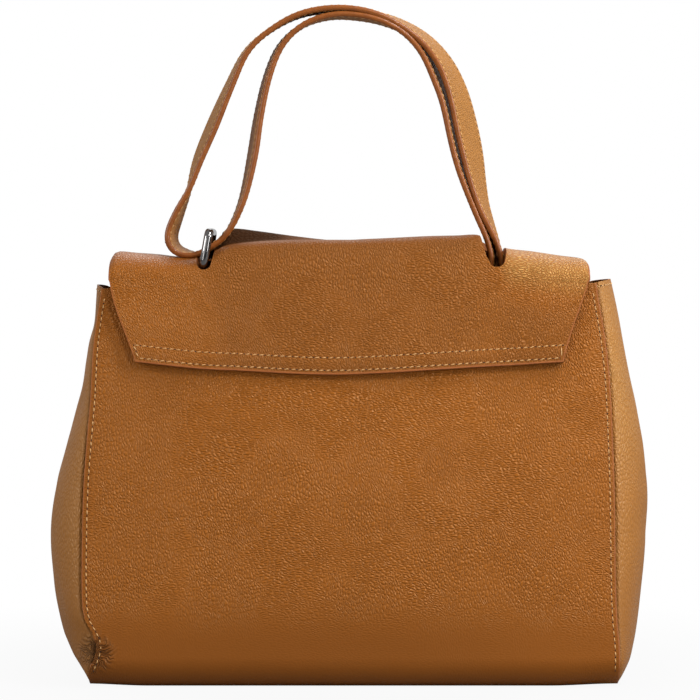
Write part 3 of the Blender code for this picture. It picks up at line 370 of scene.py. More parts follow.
def build_grain():
    """Pebbles on a flat map in metres: upright ones and lying ones take turns over the hide."""
    tree, start, end = new_group(
        "leather_grain",
        [("Place", "NodeSocketVector", None), ("Pebble", "NodeSocketFloat", 1.5)],
        [("Height", "NodeSocketFloat"), ("Valley", "NodeSocketFloat"),
         ("Patch", "NodeSocketFloat")])

    def scaled(vector, factor):
        return add_node(tree, "ShaderNodeVectorMath", {0: vector, "Scale": factor},
                        operation="SCALE").outputs[0]

    def soft_noise(scale, detail=1.0):
        return add_node(tree, "ShaderNodeTexNoise", {"Vector": millimetres, "Scale": scale,
                                                     "Detail": detail}, noise_dimensions="2D")

    millimetres = scaled(start.outputs["Place"], 1000)
    bent = millimetres
    for scale, reach in GRAIN_BENDS:
        centred = add_node(tree, "ShaderNodeVectorMath",
                           {0: soft_noise(scale).outputs["Color"], 1: (0.5, 0.5, 0.5)},
                           operation="SUBTRACT").outputs[0]
        bent = add_node(tree, "ShaderNodeVectorMath", {0: bent, 1: scaled(centred, reach)},
                        operation="ADD").outputs[0]
    rate = math_node(tree, "DIVIDE", 1.0, start.outputs["Pebble"])
    layers = []
    for angle, size in PEBBLE_LAYERS:
        turned = add_node(tree, "ShaderNodeMapping", {"Vector": bent, "Rotation": (0, 0, angle),
                                                      "Scale": size})
        cells = add_node(tree, "ShaderNodeTexVoronoi", {"Vector": turned.outputs[0],
                                                        "Scale": rate},
                         feature="DISTANCE_TO_EDGE", voronoi_dimensions="2D")
        layers.append(cells.outputs["Distance"])
    choose = add_node(tree, "ShaderNodeMapRange", {"Value": soft_noise(0.02).outputs["Fac"],
                                                   "From Min": 0.46, "From Max": 0.54})
    edge = add_node(tree, "ShaderNodeMix", {"Factor": choose.outputs[0], "A": layers[0],
                                            "B": layers[1]}, data_type="FLOAT").outputs[0]
    dome = add_node(tree, "ShaderNodeMapRange", {"Value": edge, "From Min": 0.0, "From Max": 0.4},
                    interpolation_type="SMOOTHSTEP").outputs[0]
    patch = add_node(tree, "ShaderNodeMapRange", {"Value": soft_noise(0.03, 2.0).outputs["Fac"],
                                                  "From Min": 0.3, "From Max": 0.6,
                                                  "To Min": 0.68, "To Max": 1.0}).outputs[0]
    height = math_node(tree, "MULTIPLY", dome, patch)
    height = math_node(tree, "MULTIPLY_ADD", soft_noise(0.9, 2.0).outputs["Fac"], 0.35, height)
    low = math_node(tree, "SUBTRACT", 1.0, dome)
    tree.links.new(height, end.inputs["Height"])
    tree.links.new(low, end.inputs["Valley"])
    tree.links.new(patch, end.inputs["Patch"])
    return tree


GRAIN = build_grain()
print("grain:", len(GRAIN.nodes), "nodes")


# %% Gathers group
FOLD_COUNT = 25.0
FOLD_SWIRL = -260.0  # radians that a fold turns in a metre
STRAY = 0.009  # how far noise shifts the folds, in metres


def build_gathers():
    """Fine folds that run out from the gathered point, on Object coordinates."""
    tree, start, end = new_group("gathers", [("Place", "NodeSocketVector", None)],
                                 [("Fold", "NodeSocketFloat"), ("Reach", "NodeSocketFloat")])
    place = start.outputs["Place"]

    def vector(operation, first, second):
        return add_node(tree, "ShaderNodeVectorMath", {0: first, 1: second}, operation=operation)

    def fade(value, low, high, before, after):
        return add_node(tree, "ShaderNodeMapRange",
                        {"Value": value, "From Min": low, "From Max": high, "To Min": before,
                         "To Max": after}, interpolation_type="SMOOTHSTEP").outputs[0]

    stray = add_node(tree, "ShaderNodeTexNoise", {"Vector": place, "Scale": 170.0, "Detail": 1.0})
    stray = vector("MULTIPLY_ADD", stray.outputs["Color"], (STRAY, STRAY, STRAY))
    stray.inputs[2].default_value = (-STRAY / 2 - PUCKER.x, 0, -STRAY / 2 - PUCKER.y)
    away = vector("ADD", place, stray.outputs[0])
    flat = vector("MULTIPLY", away.outputs[0], (1, 0, 1))
    apart = add_node(tree, "ShaderNodeSeparateXYZ", {0: flat.outputs[0]})
    reach = vector("LENGTH", flat.outputs[0], (0, 0, 0)).outputs["Value"]
    angle = math_node(tree, "ARCTAN2", apart.outputs[2], apart.outputs[0])
    swirl = math_node(tree, "MULTIPLY", reach, FOLD_SWIRL)
    wave = math_node(tree, "SINE", math_node(tree, "MULTIPLY_ADD", angle, FOLD_COUNT, swirl))
    fold = fade(math_node(tree, "MULTIPLY", wave, fade(reach, MM, 3 * MM, 0.0, 1.0)),
                -1.0, 1.0, 0.0, 1.0)
    depth = add_node(tree, "ShaderNodeSeparateXYZ", {0: place}).outputs[1]
    near = math_node(tree, "MULTIPLY", fade(reach, 5.5 * MM, 14.5 * MM, 1.0, 0.0),
                     fade(depth, -0.045, -0.035, 1.0, 0.0))
    tree.links.new(fold, end.inputs["Fold"])
    tree.links.new(near, end.inputs["Reach"])
    return tree


GATHERS = build_gathers()
print("gathers:", len(GATHERS.nodes), "nodes")


# %% Leather finish
# Painted light: the leather pales towards the first colour at a painted highlight and darkens
# towards the second at painted shade.
PAINTED_HIGHLIGHT_COLOUR = colour(212, 166, 96)
PAINTED_SHADE_COLOUR = colour(40, 17, 8)
VALLEY_SHADE, FLAT_SHADE, CLOUD_SHADE, BASE_SHADE = 0.25, 0.5, 0.1, 0.15
GRAIN_FADE = -0.88  # how much of the grain's height goes where the leather is smooth
GATHER_DEPTH = 0.7 * MM


def new_material(name, **values):
    material = bpy.data.materials.new(name)
    material.use_nodes = True
    shader = material.node_tree.nodes["Principled BSDF"]
    for key, value in values.items():
        shader.inputs[key.replace("_", " ")].default_value = value
    return material, material.node_tree, shader


def leather(name, light, dark, pebble=1.5, bump=0.5, rough=(0.33, 0.5), shine=0.5,
            tint=(1.0, 0.66, 0.36, 1.0), gathered=False):
    """Grained leather between two colours; bump is the depth of the grain in millimetres. The
    sheet's shade attribute is painted shade above 0, which darkens it, and a painted highlight
    below 0, which pales it."""
    material, tree, shader = new_material(name)
    shader.inputs["Specular IOR Level"].default_value = shine
    shader.inputs["Specular Tint"].default_value = tint
    flat = add_node(tree, "ShaderNodeUVMap", uv_map="flat").outputs[0]
    grain = add_node(tree, "ShaderNodeGroup", node_tree=GRAIN)
    tree.links.new(flat, grain.inputs["Place"])
    grain.inputs["Pebble"].default_value = pebble
    smooth = add_node(tree, "ShaderNodeAttribute", attribute_name="smooth").outputs["Fac"]
    painted_light = add_node(tree, "ShaderNodeAttribute", attribute_name="shade").outputs["Fac"]
    # The sheet's painted shade and painted highlight, with the gathers' painted crease shade where
    # a piece has them.
    painted_shading = painted_light  # with the gathers' dark folds, where a piece has them
    if gathered:
        folds = add_node(tree, "ShaderNodeGroup", node_tree=GATHERS)
        tree.links.new(add_node(tree, "ShaderNodeTexCoord").outputs["Object"],
                       folds.inputs["Place"])
        # Painted shade in the creases of the gathers.
        painted_fold_shade = math_node(tree, "MULTIPLY_ADD", folds.outputs["Fold"], -0.42, 0.62)
        painted_fold_shade = math_node(tree, "MULTIPLY", painted_fold_shade, folds.outputs["Reach"])
        painted_shading = math_node(tree, "MAXIMUM", painted_shading, painted_fold_shade)
    rough_part = math_node(tree, "SUBTRACT", 1.0, smooth)
    cloud = add_node(tree, "ShaderNodeTexNoise", {"Vector": flat, "Scale": 11.0, "Detail": 2.0},
                     noise_dimensions="2D").outputs["Fac"]
    shade = math_node(tree, "MULTIPLY", grain.outputs["Valley"], rough_part)
    shade = math_node(tree, "MULTIPLY_ADD", shade, VALLEY_SHADE, BASE_SHADE)
    shade = math_node(tree, "MULTIPLY_ADD", smooth, FLAT_SHADE, shade)
    shade = math_node(tree, "MULTIPLY_ADD", cloud, CLOUD_SHADE, shade)
    shade_mix = add_node(tree, "ShaderNodeMix", {"Factor": shade, "A": light, "B": dark},
                         data_type="RGBA").outputs[2]
    # The painted highlight is strongest on the tops of the pebbles.
    on_top = math_node(tree, "MULTIPLY_ADD", grain.outputs["Valley"], 1.1, -1.4)
    painted_highlight = add_node(tree, "ShaderNodeMix", {"Factor": math_node(tree, "MULTIPLY", painted_light, on_top),
                                            "A": shade_mix, "B": PAINTED_HIGHLIGHT_COLOUR},
                    data_type="RGBA").outputs[2]
    with_painted_shade = add_node(tree, "ShaderNodeMix", {"Factor": painted_shading, "A": painted_highlight, "B": PAINTED_SHADE_COLOUR},
                    data_type="RGBA").outputs[2]
    tree.links.new(with_painted_shade, shader.inputs["Base Color"])
    gloss = add_node(tree, "ShaderNodeMapRange", {"Value": grain.outputs["Valley"],
                                                  "To Min": rough[0], "To Max": rough[1]})
    gloss = math_node(tree, "MULTIPLY_ADD", painted_shading, 0.45, gloss.outputs[0])
    tree.links.new(gloss, shader.inputs["Roughness"])
    height = math_node(tree, "MULTIPLY", grain.outputs["Height"],
                       math_node(tree, "MULTIPLY_ADD", smooth, GRAIN_FADE, 1.0))
    if gathered:
        lift = math_node(tree, "MULTIPLY", folds.outputs["Fold"], folds.outputs["Reach"])
        height = math_node(tree, "MULTIPLY_ADD", lift, GATHER_DEPTH / (bump * MM), height)
    relief = add_node(tree, "ShaderNodeBump", {"Height": height, "Distance": bump * MM,
                                               "Strength": 1.0})
    tree.links.new(relief.outputs[0], shader.inputs["Normal"])
    return material


# %% Leathers
TAN = leather("tan_grain", colour(164, 94, 27), colour(116, 61, 13), shine=0.45,
              bump=0.46, tint=(1.0, 0.74, 0.4, 1.0), gathered=True)
GUSSET_TAN = leather("gusset_grain", colour(170, 111, 44), colour(128, 76, 24), pebble=1.9,
                     bump=0.28, rough=(0.36, 0.52), shine=0.6, tint=(1.0, 0.82, 0.58, 1.0),
                     gathered=True)
STRAP_TAN = leather("strap_grain", colour(179, 123, 63), colour(134, 86, 37), pebble=1.3,
                    bump=0.42, rough=(0.42, 0.6), shine=0.3)
INSIDE_TAN = leather("inside_leather", colour(158, 104, 56), colour(116, 74, 36), pebble=1.0,
                     bump=0.1, rough=(0.55, 0.7))
print("leather: tan for the panels, softer for the gussets, one for the strap, one for the inside")


# %% Paint, thread, metal and card
def plain_noise(name, light, dark, scale, rough, bump=0.0, **values):
    """A finish with slow colour change and a fine relief, on Object coordinates."""
    material, tree, shader = new_material(name, **values)
    place = add_node(tree, "ShaderNodeTexCoord").outputs["Object"]
    fine = add_node(tree, "ShaderNodeTexNoise", {"Vector": place, "Scale": scale, "Detail": 4.0})
    mixed = add_node(tree, "ShaderNodeMix", {"Factor": fine.outputs["Fac"], "A": light, "B": dark},
                     data_type="RGBA")
    tree.links.new(mixed.outputs[2], shader.inputs["Base Color"])
    gloss = add_node(tree, "ShaderNodeMapRange", {"Value": fine.outputs["Fac"],
                                                  "To Min": rough[0], "To Max": rough[1]})
    tree.links.new(gloss.outputs[0], shader.inputs["Roughness"])
    if bump:
        relief = add_node(tree, "ShaderNodeBump", {"Height": fine.outputs["Fac"],
                                                   "Distance": bump * MM, "Strength": 1.0})
        tree.links.new(relief.outputs[0], shader.inputs["Normal"])
    return material


EDGE_PAINT = plain_noise("edge_paint", colour(160, 92, 38), colour(114, 58, 18), 260,
                         (0.22, 0.4), 0.12, Specular_IOR_Level=0.35)
RAW_EDGE = plain_noise("burnished_edge", colour(172, 102, 46), colour(128, 68, 26), 320,
                       (0.4, 0.6), 0.15, Specular_IOR_Level=0.3)
THREAD = plain_noise("linen_thread", colour(228, 184, 124), colour(190, 142, 86), 900,
                     (0.6, 0.8), 0.1)
# The needle holes are dark plugs: painted shade of the holes.
HOLE_SHADE = plain_noise("needle_hole_shade", colour(52, 26, 12), colour(38, 18, 8), 400, (0.8, 0.9))
GUNMETAL = plain_noise("polished_gunmetal", colour(138, 136, 134), colour(118, 116, 116), 60,
                       (0.03, 0.06), 0.0, Metallic=1.0)
STEEL = plain_noise("brushed_steel", colour(170, 168, 164), colour(130, 128, 126), 180,
                    (0.25, 0.4), 0.02, Metallic=1.0)
CARD = plain_noise("grey_board", colour(120, 98, 74), colour(96, 78, 58), 300, (0.8, 0.95), 0.1)


# %% Cloth
def weave(name, light, dark, pitch, rough=0.85, bump=0.12):
    """Plain-woven cloth on the flat UV map; pitch is the distance between threads in mm."""
    material, tree, shader = new_material(name, Roughness=rough)
    flat = add_node(tree, "ShaderNodeUVMap", uv_map="flat").outputs[0]
    apart = add_node(tree, "ShaderNodeSeparateXYZ", {0: flat})
    waves = []
    for axis in (0, 1):
        turns = math_node(tree, "MULTIPLY", apart.outputs[axis], math.pi / (pitch * MM))
        waves.append(math_node(tree, "SINE", turns))
    cross = math_node(tree, "MULTIPLY", waves[0], waves[1])
    lift = add_node(tree, "ShaderNodeMapRange", {"Value": cross, "From Min": -1.0}).outputs[0]
    slub = add_node(tree, "ShaderNodeTexNoise", {"Vector": flat, "Scale": 60.0, "Detail": 3.0},
                    noise_dimensions="2D").outputs["Fac"]
    factor = math_node(tree, "MULTIPLY_ADD", slub, 0.6, math_node(tree, "MULTIPLY", lift, 0.4))
    mixed = add_node(tree, "ShaderNodeMix", {"Factor": factor, "A": light, "B": dark},
                     data_type="RGBA")
    tree.links.new(mixed.outputs[2], shader.inputs["Base Color"])
    relief = add_node(tree, "ShaderNodeBump", {"Height": lift, "Distance": bump * MM,
                                               "Strength": 1.0})
    tree.links.new(relief.outputs[0], shader.inputs["Normal"])
    return material


LINING_CLOTH = weave("lining_twill", colour(176, 140, 98), colour(140, 106, 70), 0.7)
TAPE_CLOTH = weave("zip_tape_weave", colour(120, 76, 44), colour(88, 52, 28), 0.6)
print("materials:", len(bpy.data.materials))

# %% [markdown]
# ## Helpers that make soft sheets
# A leather panel starts as a flat grid, made by one operator. Each of its points then moves to
# where a function says the leather lies, and the distances along the grid become the UV map. The
# sheet gets its thickness afterwards with a Solidify modifier: face, painted rim and back take
# three materials. The other way, a lofted solid, would need its rim built by hand.

# %% Sheet helpers
COLLECTION = bpy.context.scene.collection


def spread(start, end, count):
    return [start + (end - start) * i / count for i in range(count + 1)]


def settle(item):
    """Apply an object's modifiers, so that its mesh is final."""
    graph = bpy.context.evaluated_depsgraph_get()
    mesh = bpy.data.meshes.new_from_object(item.evaluated_get(graph), depsgraph=graph)
    item.modifiers.clear()
    item.data = mesh
    mesh.name = item.name
    return item


def distances(points):
    out = [0.0]
    for a, b in zip(points, points[1:]):
        out.append(out[-1] + (b - a).length)
    return out


PAINTED_BORDER = 3  # place of the border's material in a piece's list


def sheet_mesh(columns, rows, place, outward, shade=None, smooth=None, border=None):
    """A grid whose points lie where place(column, row) says, with its flat UV map. Two functions
    give each point its painted light, painted shade above 0 and a painted highlight below 0, and
    how much its grain fades. Cells for which border(i, j) is true carry the edge's paint."""
    bm = bmesh.new()
    wide, high = len(columns) - 1, len(rows) - 1
    bmesh.ops.create_grid(bm, x_segments=wide, y_segments=high, size=1)
    flat_u = distances([place(c, rows[high // 2]) for c in columns])
    flat_v = distances([place(columns[wide // 2], r) for r in rows])
    uv = bm.loops.layers.uv.new("flat")
    # The shade layer holds painted light: painted shade above 0, a painted highlight below 0.
    dark = bm.verts.layers.float.new("shade")
    faded = bm.verts.layers.float.new("smooth")
    spot = {}
    for vert in bm.verts:
        i = round((vert.co.x + 1) / 2 * wide)
        j = round((vert.co.y + 1) / 2 * high)
        vert.co = place(columns[i], rows[j])
        spot[vert] = (flat_u[i], flat_v[j], i, j)
        vert[dark] = shade(vert.co) if shade else 0.0
        vert[faded] = smooth(vert.co) if smooth else 0.0
    for face in bm.faces:
        for corner in face.loops:
            corner[uv].uv = spot[corner.vert][:2]
        cells = [spot[v][2:] for v in face.verts]
        if border and border(min(c[0] for c in cells), min(c[1] for c in cells)):
            face.material_index = PAINTED_BORDER
    bm.normal_update()
    middle = min(bm.faces, key=lambda f: (f.calc_center_median()
                                          - place(columns[wide // 2], rows[high // 2])).length)
    if middle.normal.dot(Vector(outward)) < 0:
        bmesh.ops.reverse_faces(bm, faces=bm.faces)
    return bm


def cut_out(bm, near, planes):
    """Delete what lies on the inner side of all the planes, from the faces given."""
    for place, normal in planes:
        place, normal = Vector(place), Vector(normal).normalized()
        geometry = set(near)
        for face in near:
            geometry.update(face.edges)
            geometry.update(face.verts)
        cut = bmesh.ops.bisect_plane(bm, geom=list(geometry), plane_co=place, plane_no=normal,
                                     dist=0.00001)
        faces = {g for g in cut["geom"] if isinstance(g, bmesh.types.BMFace)}
        near = [f for f in faces if (f.calc_center_median() - place).dot(normal) < 0]
    bmesh.ops.delete(bm, geom=near, context="FACES")
    return len(near)


def add_piece(name, bm, materials, smooth=True):
    mesh = bpy.data.meshes.new(name)
    bm.to_mesh(mesh)
    bm.free()
    for material in materials:
        mesh.materials.append(material)
    if smooth:
        mesh.shade_smooth()
    item = bpy.data.objects.new(name, mesh)
    COLLECTION.objects.link(item)
    return item


def panel_materials(face):
    """Materials of a panel: its leather, rim and back, and the same three again for its border."""
    return [face, RAW_EDGE, INSIDE_TAN, RAW_EDGE, RAW_EDGE, INSIDE_TAN]


def give_thickness(item, thickness, bevel=0.0):
    """Face, painted rim and back; then the rim's corners are rounded and the mesh is final."""
    solid = item.modifiers.new("Thickness", "SOLIDIFY")
    solid.thickness = thickness
    solid.offset = -1.0
    solid.use_even_offset = True
    solid.material_offset_rim = 1
    solid.material_offset = 2
    if bevel:
        round_off = item.modifiers.new("Edges", "BEVEL")
        round_off.width = bevel
        round_off.segments = 2
        round_off.limit_method = "ANGLE"
        round_off.angle_limit = math.radians(55)
    settle(item)
    bm = bmesh.new()
    bm.from_mesh(item.data)
    bmesh.ops.remove_doubles(bm, verts=bm.verts, dist=0.02 * MM)
    bm.to_mesh(item.data)
    bm.free()
    item.data.set_sharp_from_angle(angle=math.radians(60))
    return item


def body(item, name, *replaced, slot=None):
    """The piece moves with a CAD body and stands for CAD nodes, which it hides. The slot is not
    used.
    """
    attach(item, name)
    if replaced:
        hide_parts(*replaced)
    return item


# %% [markdown]
# ## Thread
# Each visible stitch is a short thread that dives into the leather at both ends. It is made once
# as a small rounded rod from one operator, and copied along a seam. A painted dash would do from
# far away, but it would not catch light or show in the mesh.

# %% Thread helpers
PITCH = 4.05 * MM
THREAD_RADIUS = 0.32 * MM
STITCH_SHARE = 0.34  # half length of a stitch as a share of its pitch
CLEARANCE = 0.02 * MM  # a needle hole's plug stands this far out of the leather
PLUG_HALF = 0.05 * MM


def take_shape(bm):
    """A mesh as points and faces to copy."""
    points = [v.co.copy() for v in bm.verts]
    faces = [[v.index for v in f.verts] for f in bm.faces]
    bm.free()
    return points, faces


def stitch_shape():
    """One stitch along X, sunk at both ends."""
    bm = bmesh.new()
    bmesh.ops.create_uvsphere(bm, u_segments=6, v_segments=6, radius=1.0)
    bmesh.ops.rotate(bm, verts=bm.verts, matrix=Matrix.Rotation(math.pi / 2, 3, "Y"))
    for vert in bm.verts:
        x = vert.co.x
        vert.co = Vector((x, vert.co.y * (1 - 0.25 * x * x), vert.co.z * (1 - 0.25 * x * x)
                          - 0.9 * x * x))
    return take_shape(bm)


STITCH_POINTS, STITCH_FACES = stitch_shape()


def seam_points(points, pitch=PITCH):
    """Even steps along a polyline of (point, normal) pairs: middle, direction and normal."""
    lengths = distances([p for p, _ in points])
    count = max(int(lengths[-1] / pitch), 1)
    step = lengths[-1] / count
    out = []
    k = 0
    for i in range(count):
        at = (i + 0.5) * step
        while k < len(lengths) - 2 and lengths[k + 1] < at:
            k += 1
        (a, na), (b, nb) = points[k], points[k + 1]
        t = (at - lengths[k]) / max(lengths[k + 1] - lengths[k], 1e-9)
        out.append((a.lerp(b, t), (b - a).normalized(), na.lerp(nb, t).normalized()))
    return out, step


def hole_shape():
    """Painted shade of a needle hole: a low dark plug sunk in the leather."""
    bm = bmesh.new()
    bmesh.ops.create_cone(bm, cap_ends=True, segments=8, radius1=1.0, radius2=1.0, depth=2.0)
    return take_shape(bm)


HOLE_POINTS, HOLE_FACES = hole_shape()


def thread_row(name, lines, pitch=PITCH, slant=0.24, radius=THREAD_RADIUS, seed=1):
    """All the stitches of one or more seams as one piece, with painted shade at each needle hole.
    """
    chance = random.Random(seed)
    bm = bmesh.new()
    total = 0

    def copy(points, faces, place, index):
        made = [bm.verts.new(place(p)) for p in points]
        for f in faces:
            bm.faces.new([made[i] for i in f]).material_index = index

    for line in lines:
        steps, length = seam_points(line, pitch)
        for middle, way, normal in steps:
            side = normal.cross(way).normalized()
            run = (way + side * (slant + chance.uniform(-0.07, 0.07))).normalized()
            across = normal.cross(run).normalized()
            half = length * STITCH_SHARE * chance.uniform(0.94, 1.06)
            copy(STITCH_POINTS, STITCH_FACES,
                 lambda p: (middle + run * (p.x * half) + across * (p.y * radius)
                            + normal * ((p.z + 0.35) * radius)), 0)
            end = middle + way * (length / 2)
            copy(HOLE_POINTS, HOLE_FACES,
                 lambda p: (end + way * (p.x * radius * 1.5) + side * (p.y * radius * 1.15)
                            + normal * (CLEARANCE + p.z * PLUG_HALF)), 1)
            total += 1
    item = add_piece(name, bm, [THREAD, HOLE_SHADE])
    print(name, total, "stitches")
    return item


def surface_line(place, pairs):
    """Points and outward normals of a placed sheet along a list of its own coordinates."""
    out = []
    for (u, v), (du, dv), outward in pairs:
        here = place(u, v)
        first = place(u + du, v) - here
        second = place(u, v + dv) - here
        normal = first.cross(second).normalized()
        if normal.dot(Vector(outward)) < 0:
            normal = -normal
        out.append((here, normal))
    return out


print("stitch:", len(STITCH_FACES), "faces")

# %% [markdown]
# ## The body
# One sheet makes the front, the base and the back, as the photograph shows no seam along the
# bottom. Its raw side edges are painted and lie on the gussets.

# %% Body sheet
gathers_start = BASE_FLAT + 6 * MM  # the grid is finest between these ways, at the front
gathers_end = way_at(42 * MM)
body_rows = (spread(-SHEET_REACH, -gathers_end, 66)
             + spread(-gathers_end, -gathers_start, 40)[1:]
             + spread(-gathers_start, BASE_FLAT, 24)[1:]
             + spread(BASE_FLAT, BASE_FLAT + ARC_LENGTH, 8)[1:]
             + spread(BASE_FLAT + ARC_LENGTH, SHEET_REACH, 74)[1:])
body_columns = ([-1, -0.996] + spread(-0.99, -0.86, 24) + spread(-0.86, 0.98, 92)[1:]
                + [0.995, 1])


def body_border(i, j):
    gathered = abs(body_rows[j]) < gathers_end and body_rows[j] < -BASE_FLAT
    return i == len(body_columns) - 2 or i == 0 and not gathered


# Painted shade towards the base and on the left, and a painted shadow of the flap's sides on the
# front.
BASE_SHADE_STRENGTH, LEFT_SHADE = 0.11, 0.05  # the shade of the sheet, above 0 darker
FLAP_EDGE_SHADOW, FLAP_EDGE_SHADOW_RIGHT = 0.22, 0.14


def body_shade(point):
    """Painted shade towards the base and on the left, and a painted shadow beside the flap's sides.
    """
    low = BASE_SHADE_STRENGTH * (1 - ramp(0, 75 * MM, point.z))
    low *= 1 - ramp(40 * MM, 140 * MM, point.x)
    left = LEFT_SHADE * (1 - ramp(-140 * MM, -60 * MM, point.x))
    if point.y > 0 or point.z < FLAP_CORNER_Z:
        return max(low, left)
    side = 1 if point.x > 0 else -1
    beyond = abs(point.x) - flap_side(side, point.z)
    # A painted shadow beside the flap's side edge.
    flap_shadow = (FLAP_EDGE_SHADOW + FLAP_EDGE_SHADOW_RIGHT * side) * (1 - ramp(-1 * MM, 5 * MM, beyond))
    return max(left, flap_shadow * ramp(FLAP_CORNER_Z, FLAP_CORNER_Z + 6 * MM, point.z))


def body_smooth(point):
    """The grain fades towards the base and close to the side edges."""
    low = 1 - ramp(24 * MM, 64 * MM, point.z)
    side = ramp(0.965, 0.99, abs(point.x) / along(EDGES[1 if point.x > 0 else -1], point.z))
    return max(low, 0.7 * side)


bm = sheet_mesh(body_columns, body_rows, body_point, (0, 0, -1), body_shade, body_smooth,
                body_border)
wrap = add_piece("body_leather", bm, panel_materials(TAN))
give_thickness(wrap, WALL, 0.35 * MM)
body(wrap, "bag", "body_wrap", slot="tan_leather")
print("body:", len(wrap.data.polygons), "faces")


# %% Side seams of the body
SEAM_FROM_EDGE = 2.7 * MM


def panel_seam(side_x, side_y):
    """The thread line just inside a panel's side edge, from the mouth down round the bottom."""
    pairs = []
    for z in spread(MOUTH - 5 * MM, 9 * MM, 60):
        edge = along(EDGES[side_x], z)
        u = side_x * (1 - SEAM_FROM_EDGE / edge)
        pairs.append(((u, side_y * way_at(max(z, ARC_END_Z)) if z > ARC_END_Z else
                       side_y * (BASE_FLAT + BOTTOM_RADIUS
                                 * math.acos(max(1 - z / BOTTOM_RADIUS, -1)))),
                      (-side_x * 0.01, -side_y * MM), (0, side_y, 0)))
    return surface_line(body_point, pairs)


body_thread = thread_row("body_thread", [panel_seam(sx, sy) for sx in (-1, 1) for sy in (-1, 1)],
                         slant=0.1)
body(body_thread, "bag")

# %% [markdown]
# ## The gussets
# Each side is a soft leather bulge between the two panels. It leaves its seam straight outwards,
# like a pillow, and runs nearly round to the other seam. The lower front corner on the left is
# gathered, so wrinkles run out from one point of the seam there.

# %% Gusset shape
GUSSET_ROUND = 1.15
GROOVE_DEPTH = 1.2 * MM  # the seam pulls the leather in
GROOVE_PLACE = 0.8 * MM
GROOVE_WIDTH = 1.6 * MM


def gusset_point(side, a, z):
    """Outer face of a gusset: a from -1 at the front seam to 1 at the back seam; beyond them lies
    the flange, in metres."""
    depth = wall_depth(z) - SEAM_INSET
    seam = along(EDGES[side], z) - LIP
    reach = along(OUTLINES[side], z) - seam
    over = max(abs(a) - 1, 0.0)
    angle = math.pi / 2 * max(min(a, 1), -1)
    x = seam + reach * math.cos(angle) ** GUSSET_ROUND - over
    y = depth * math.sin(angle)
    groove = GROOVE_DEPTH * math.exp(-((x - seam - GROOVE_PLACE) / GROOVE_WIDTH) ** 2)
    y -= math.copysign(groove if over < 0.6 * MM else 0.0, y)
    point = Vector((side * x, y, z))
    if over == 0:
        soft = noise.noise(Vector((a * 1.3, z / (48 * MM), side * 2.3)))
        soft += 0.4 * noise.noise(Vector((a * 4.0, z / (19 * MM), side * 5.1)))
        gain = math.cos(angle) * 1.6 * MM * soft * ramp(0, 30 * MM, MOUTH - z)
        point.x += side * (gain - abs(gain) * 0.5)
        point.z += 2.2 * MM * math.cos(angle) ** 0.8 * ramp(MOUTH - 30 * MM, MOUTH, z)
    if side < 0 and y < 0:
        point.y -= gathers(point.x, z)
    return point


# Painted shade in the fold beside the panel and at the base, and a painted highlight on the right
# gusset.
FOLD_SHADE, GUSSET_BASE_SHADE, GUSSET_HIGHLIGHT = 0.3, 0.06, 0.22


def gusset_shade(point):
    """Painted shade at the base and in the fold beside the panel, and a painted highlight at
    the right's upper front.
    """
    side = 1 if point.x > 0 else -1
    out = abs(point.x) - along(EDGES[side], point.z)
    fold = FOLD_SHADE * (1 - ramp(0.1 * MM, 2.2 * MM, out))
    fold *= ramp(12 * MM, 15 * MM, abs(point.y))
    painted_highlight = GUSSET_HIGHLIGHT * ramp(100 * MM, 190 * MM, point.z)
    painted_highlight *= 1 - ramp(-50 * MM, 25 * MM, point.y)
    painted_highlight *= 1 if side > 0 else 0
    return max(fold, GUSSET_BASE_SHADE * (1 - ramp(0, 60 * MM, point.z))) - painted_highlight


def gusset_smooth(point):
    """The side leather is smoother near the mouth and the base."""
    return max(0.6 * (1 - ramp(20 * MM, 90 * MM, point.z)),
               0.5 * ramp(190 * MM, 236 * MM, point.z))


def gusset_hem(side):
    """The thread line along a gusset's upper edge."""
    level = MOUTH - 2.6 * MM
    hem = []
    for a in spread(-0.97, 0.97, 40):
        here = gusset_point(side, a, level)
        beside = gusset_point(side, a + 0.02, level) - here
        below = gusset_point(side, a, MOUTH - 4 * MM) - here
        normal = beside.cross(below).normalized()
        hem.append((here, normal if normal.x * side > 0 else -normal))
    return hem


# %% Gussets
gusset_across = ([-1 - FLANGE, -1 - FLANGE / 2, -1 - 0.5 * MM] + spread(-1, 1, 92)
                 + [1 + 0.5 * MM, 1 + FLANGE / 2, 1 + FLANGE])
gusset_heights = (spread(SEAM_INSET, 46 * MM, 40) + spread(46 * MM, MOUTH, 74)[1:])
for side, label in ((-1, "left"), (1, "right")):
    bm = sheet_mesh(gusset_across, gusset_heights,
                    lambda a, z, s=side: gusset_point(s, a, z), (side, 0, 0), gusset_shade,
                    gusset_smooth)
    gusset = add_piece("gusset_leather_" + label, bm, [GUSSET_TAN, RAW_EDGE, INSIDE_TAN])
    give_thickness(gusset, GUSSET_WALL, 0.3 * MM)
    hem = gusset_hem(side)
    body(thread_row("gusset_thread_" + label, [hem], pitch=3.4 * MM, seed=3), "bag")
    body(gusset, "bag", "gusset_" + label, slot="gusset_leather")
    print(gusset.name, len(gusset.data.polygons), "faces")

# %% [markdown]
# ## The flap
# The flap is sewn to the back panel, goes over the mouth in a low arch and hangs down the front.
# Two U-shaped slots in its top let the rings and the strap through. The slots are cut while the
# leather is still a single surface, with a row of straight cuts, so the later thickness gives them
# a clean painted rim. A Boolean on the thick leather would leave long thin faces round them.

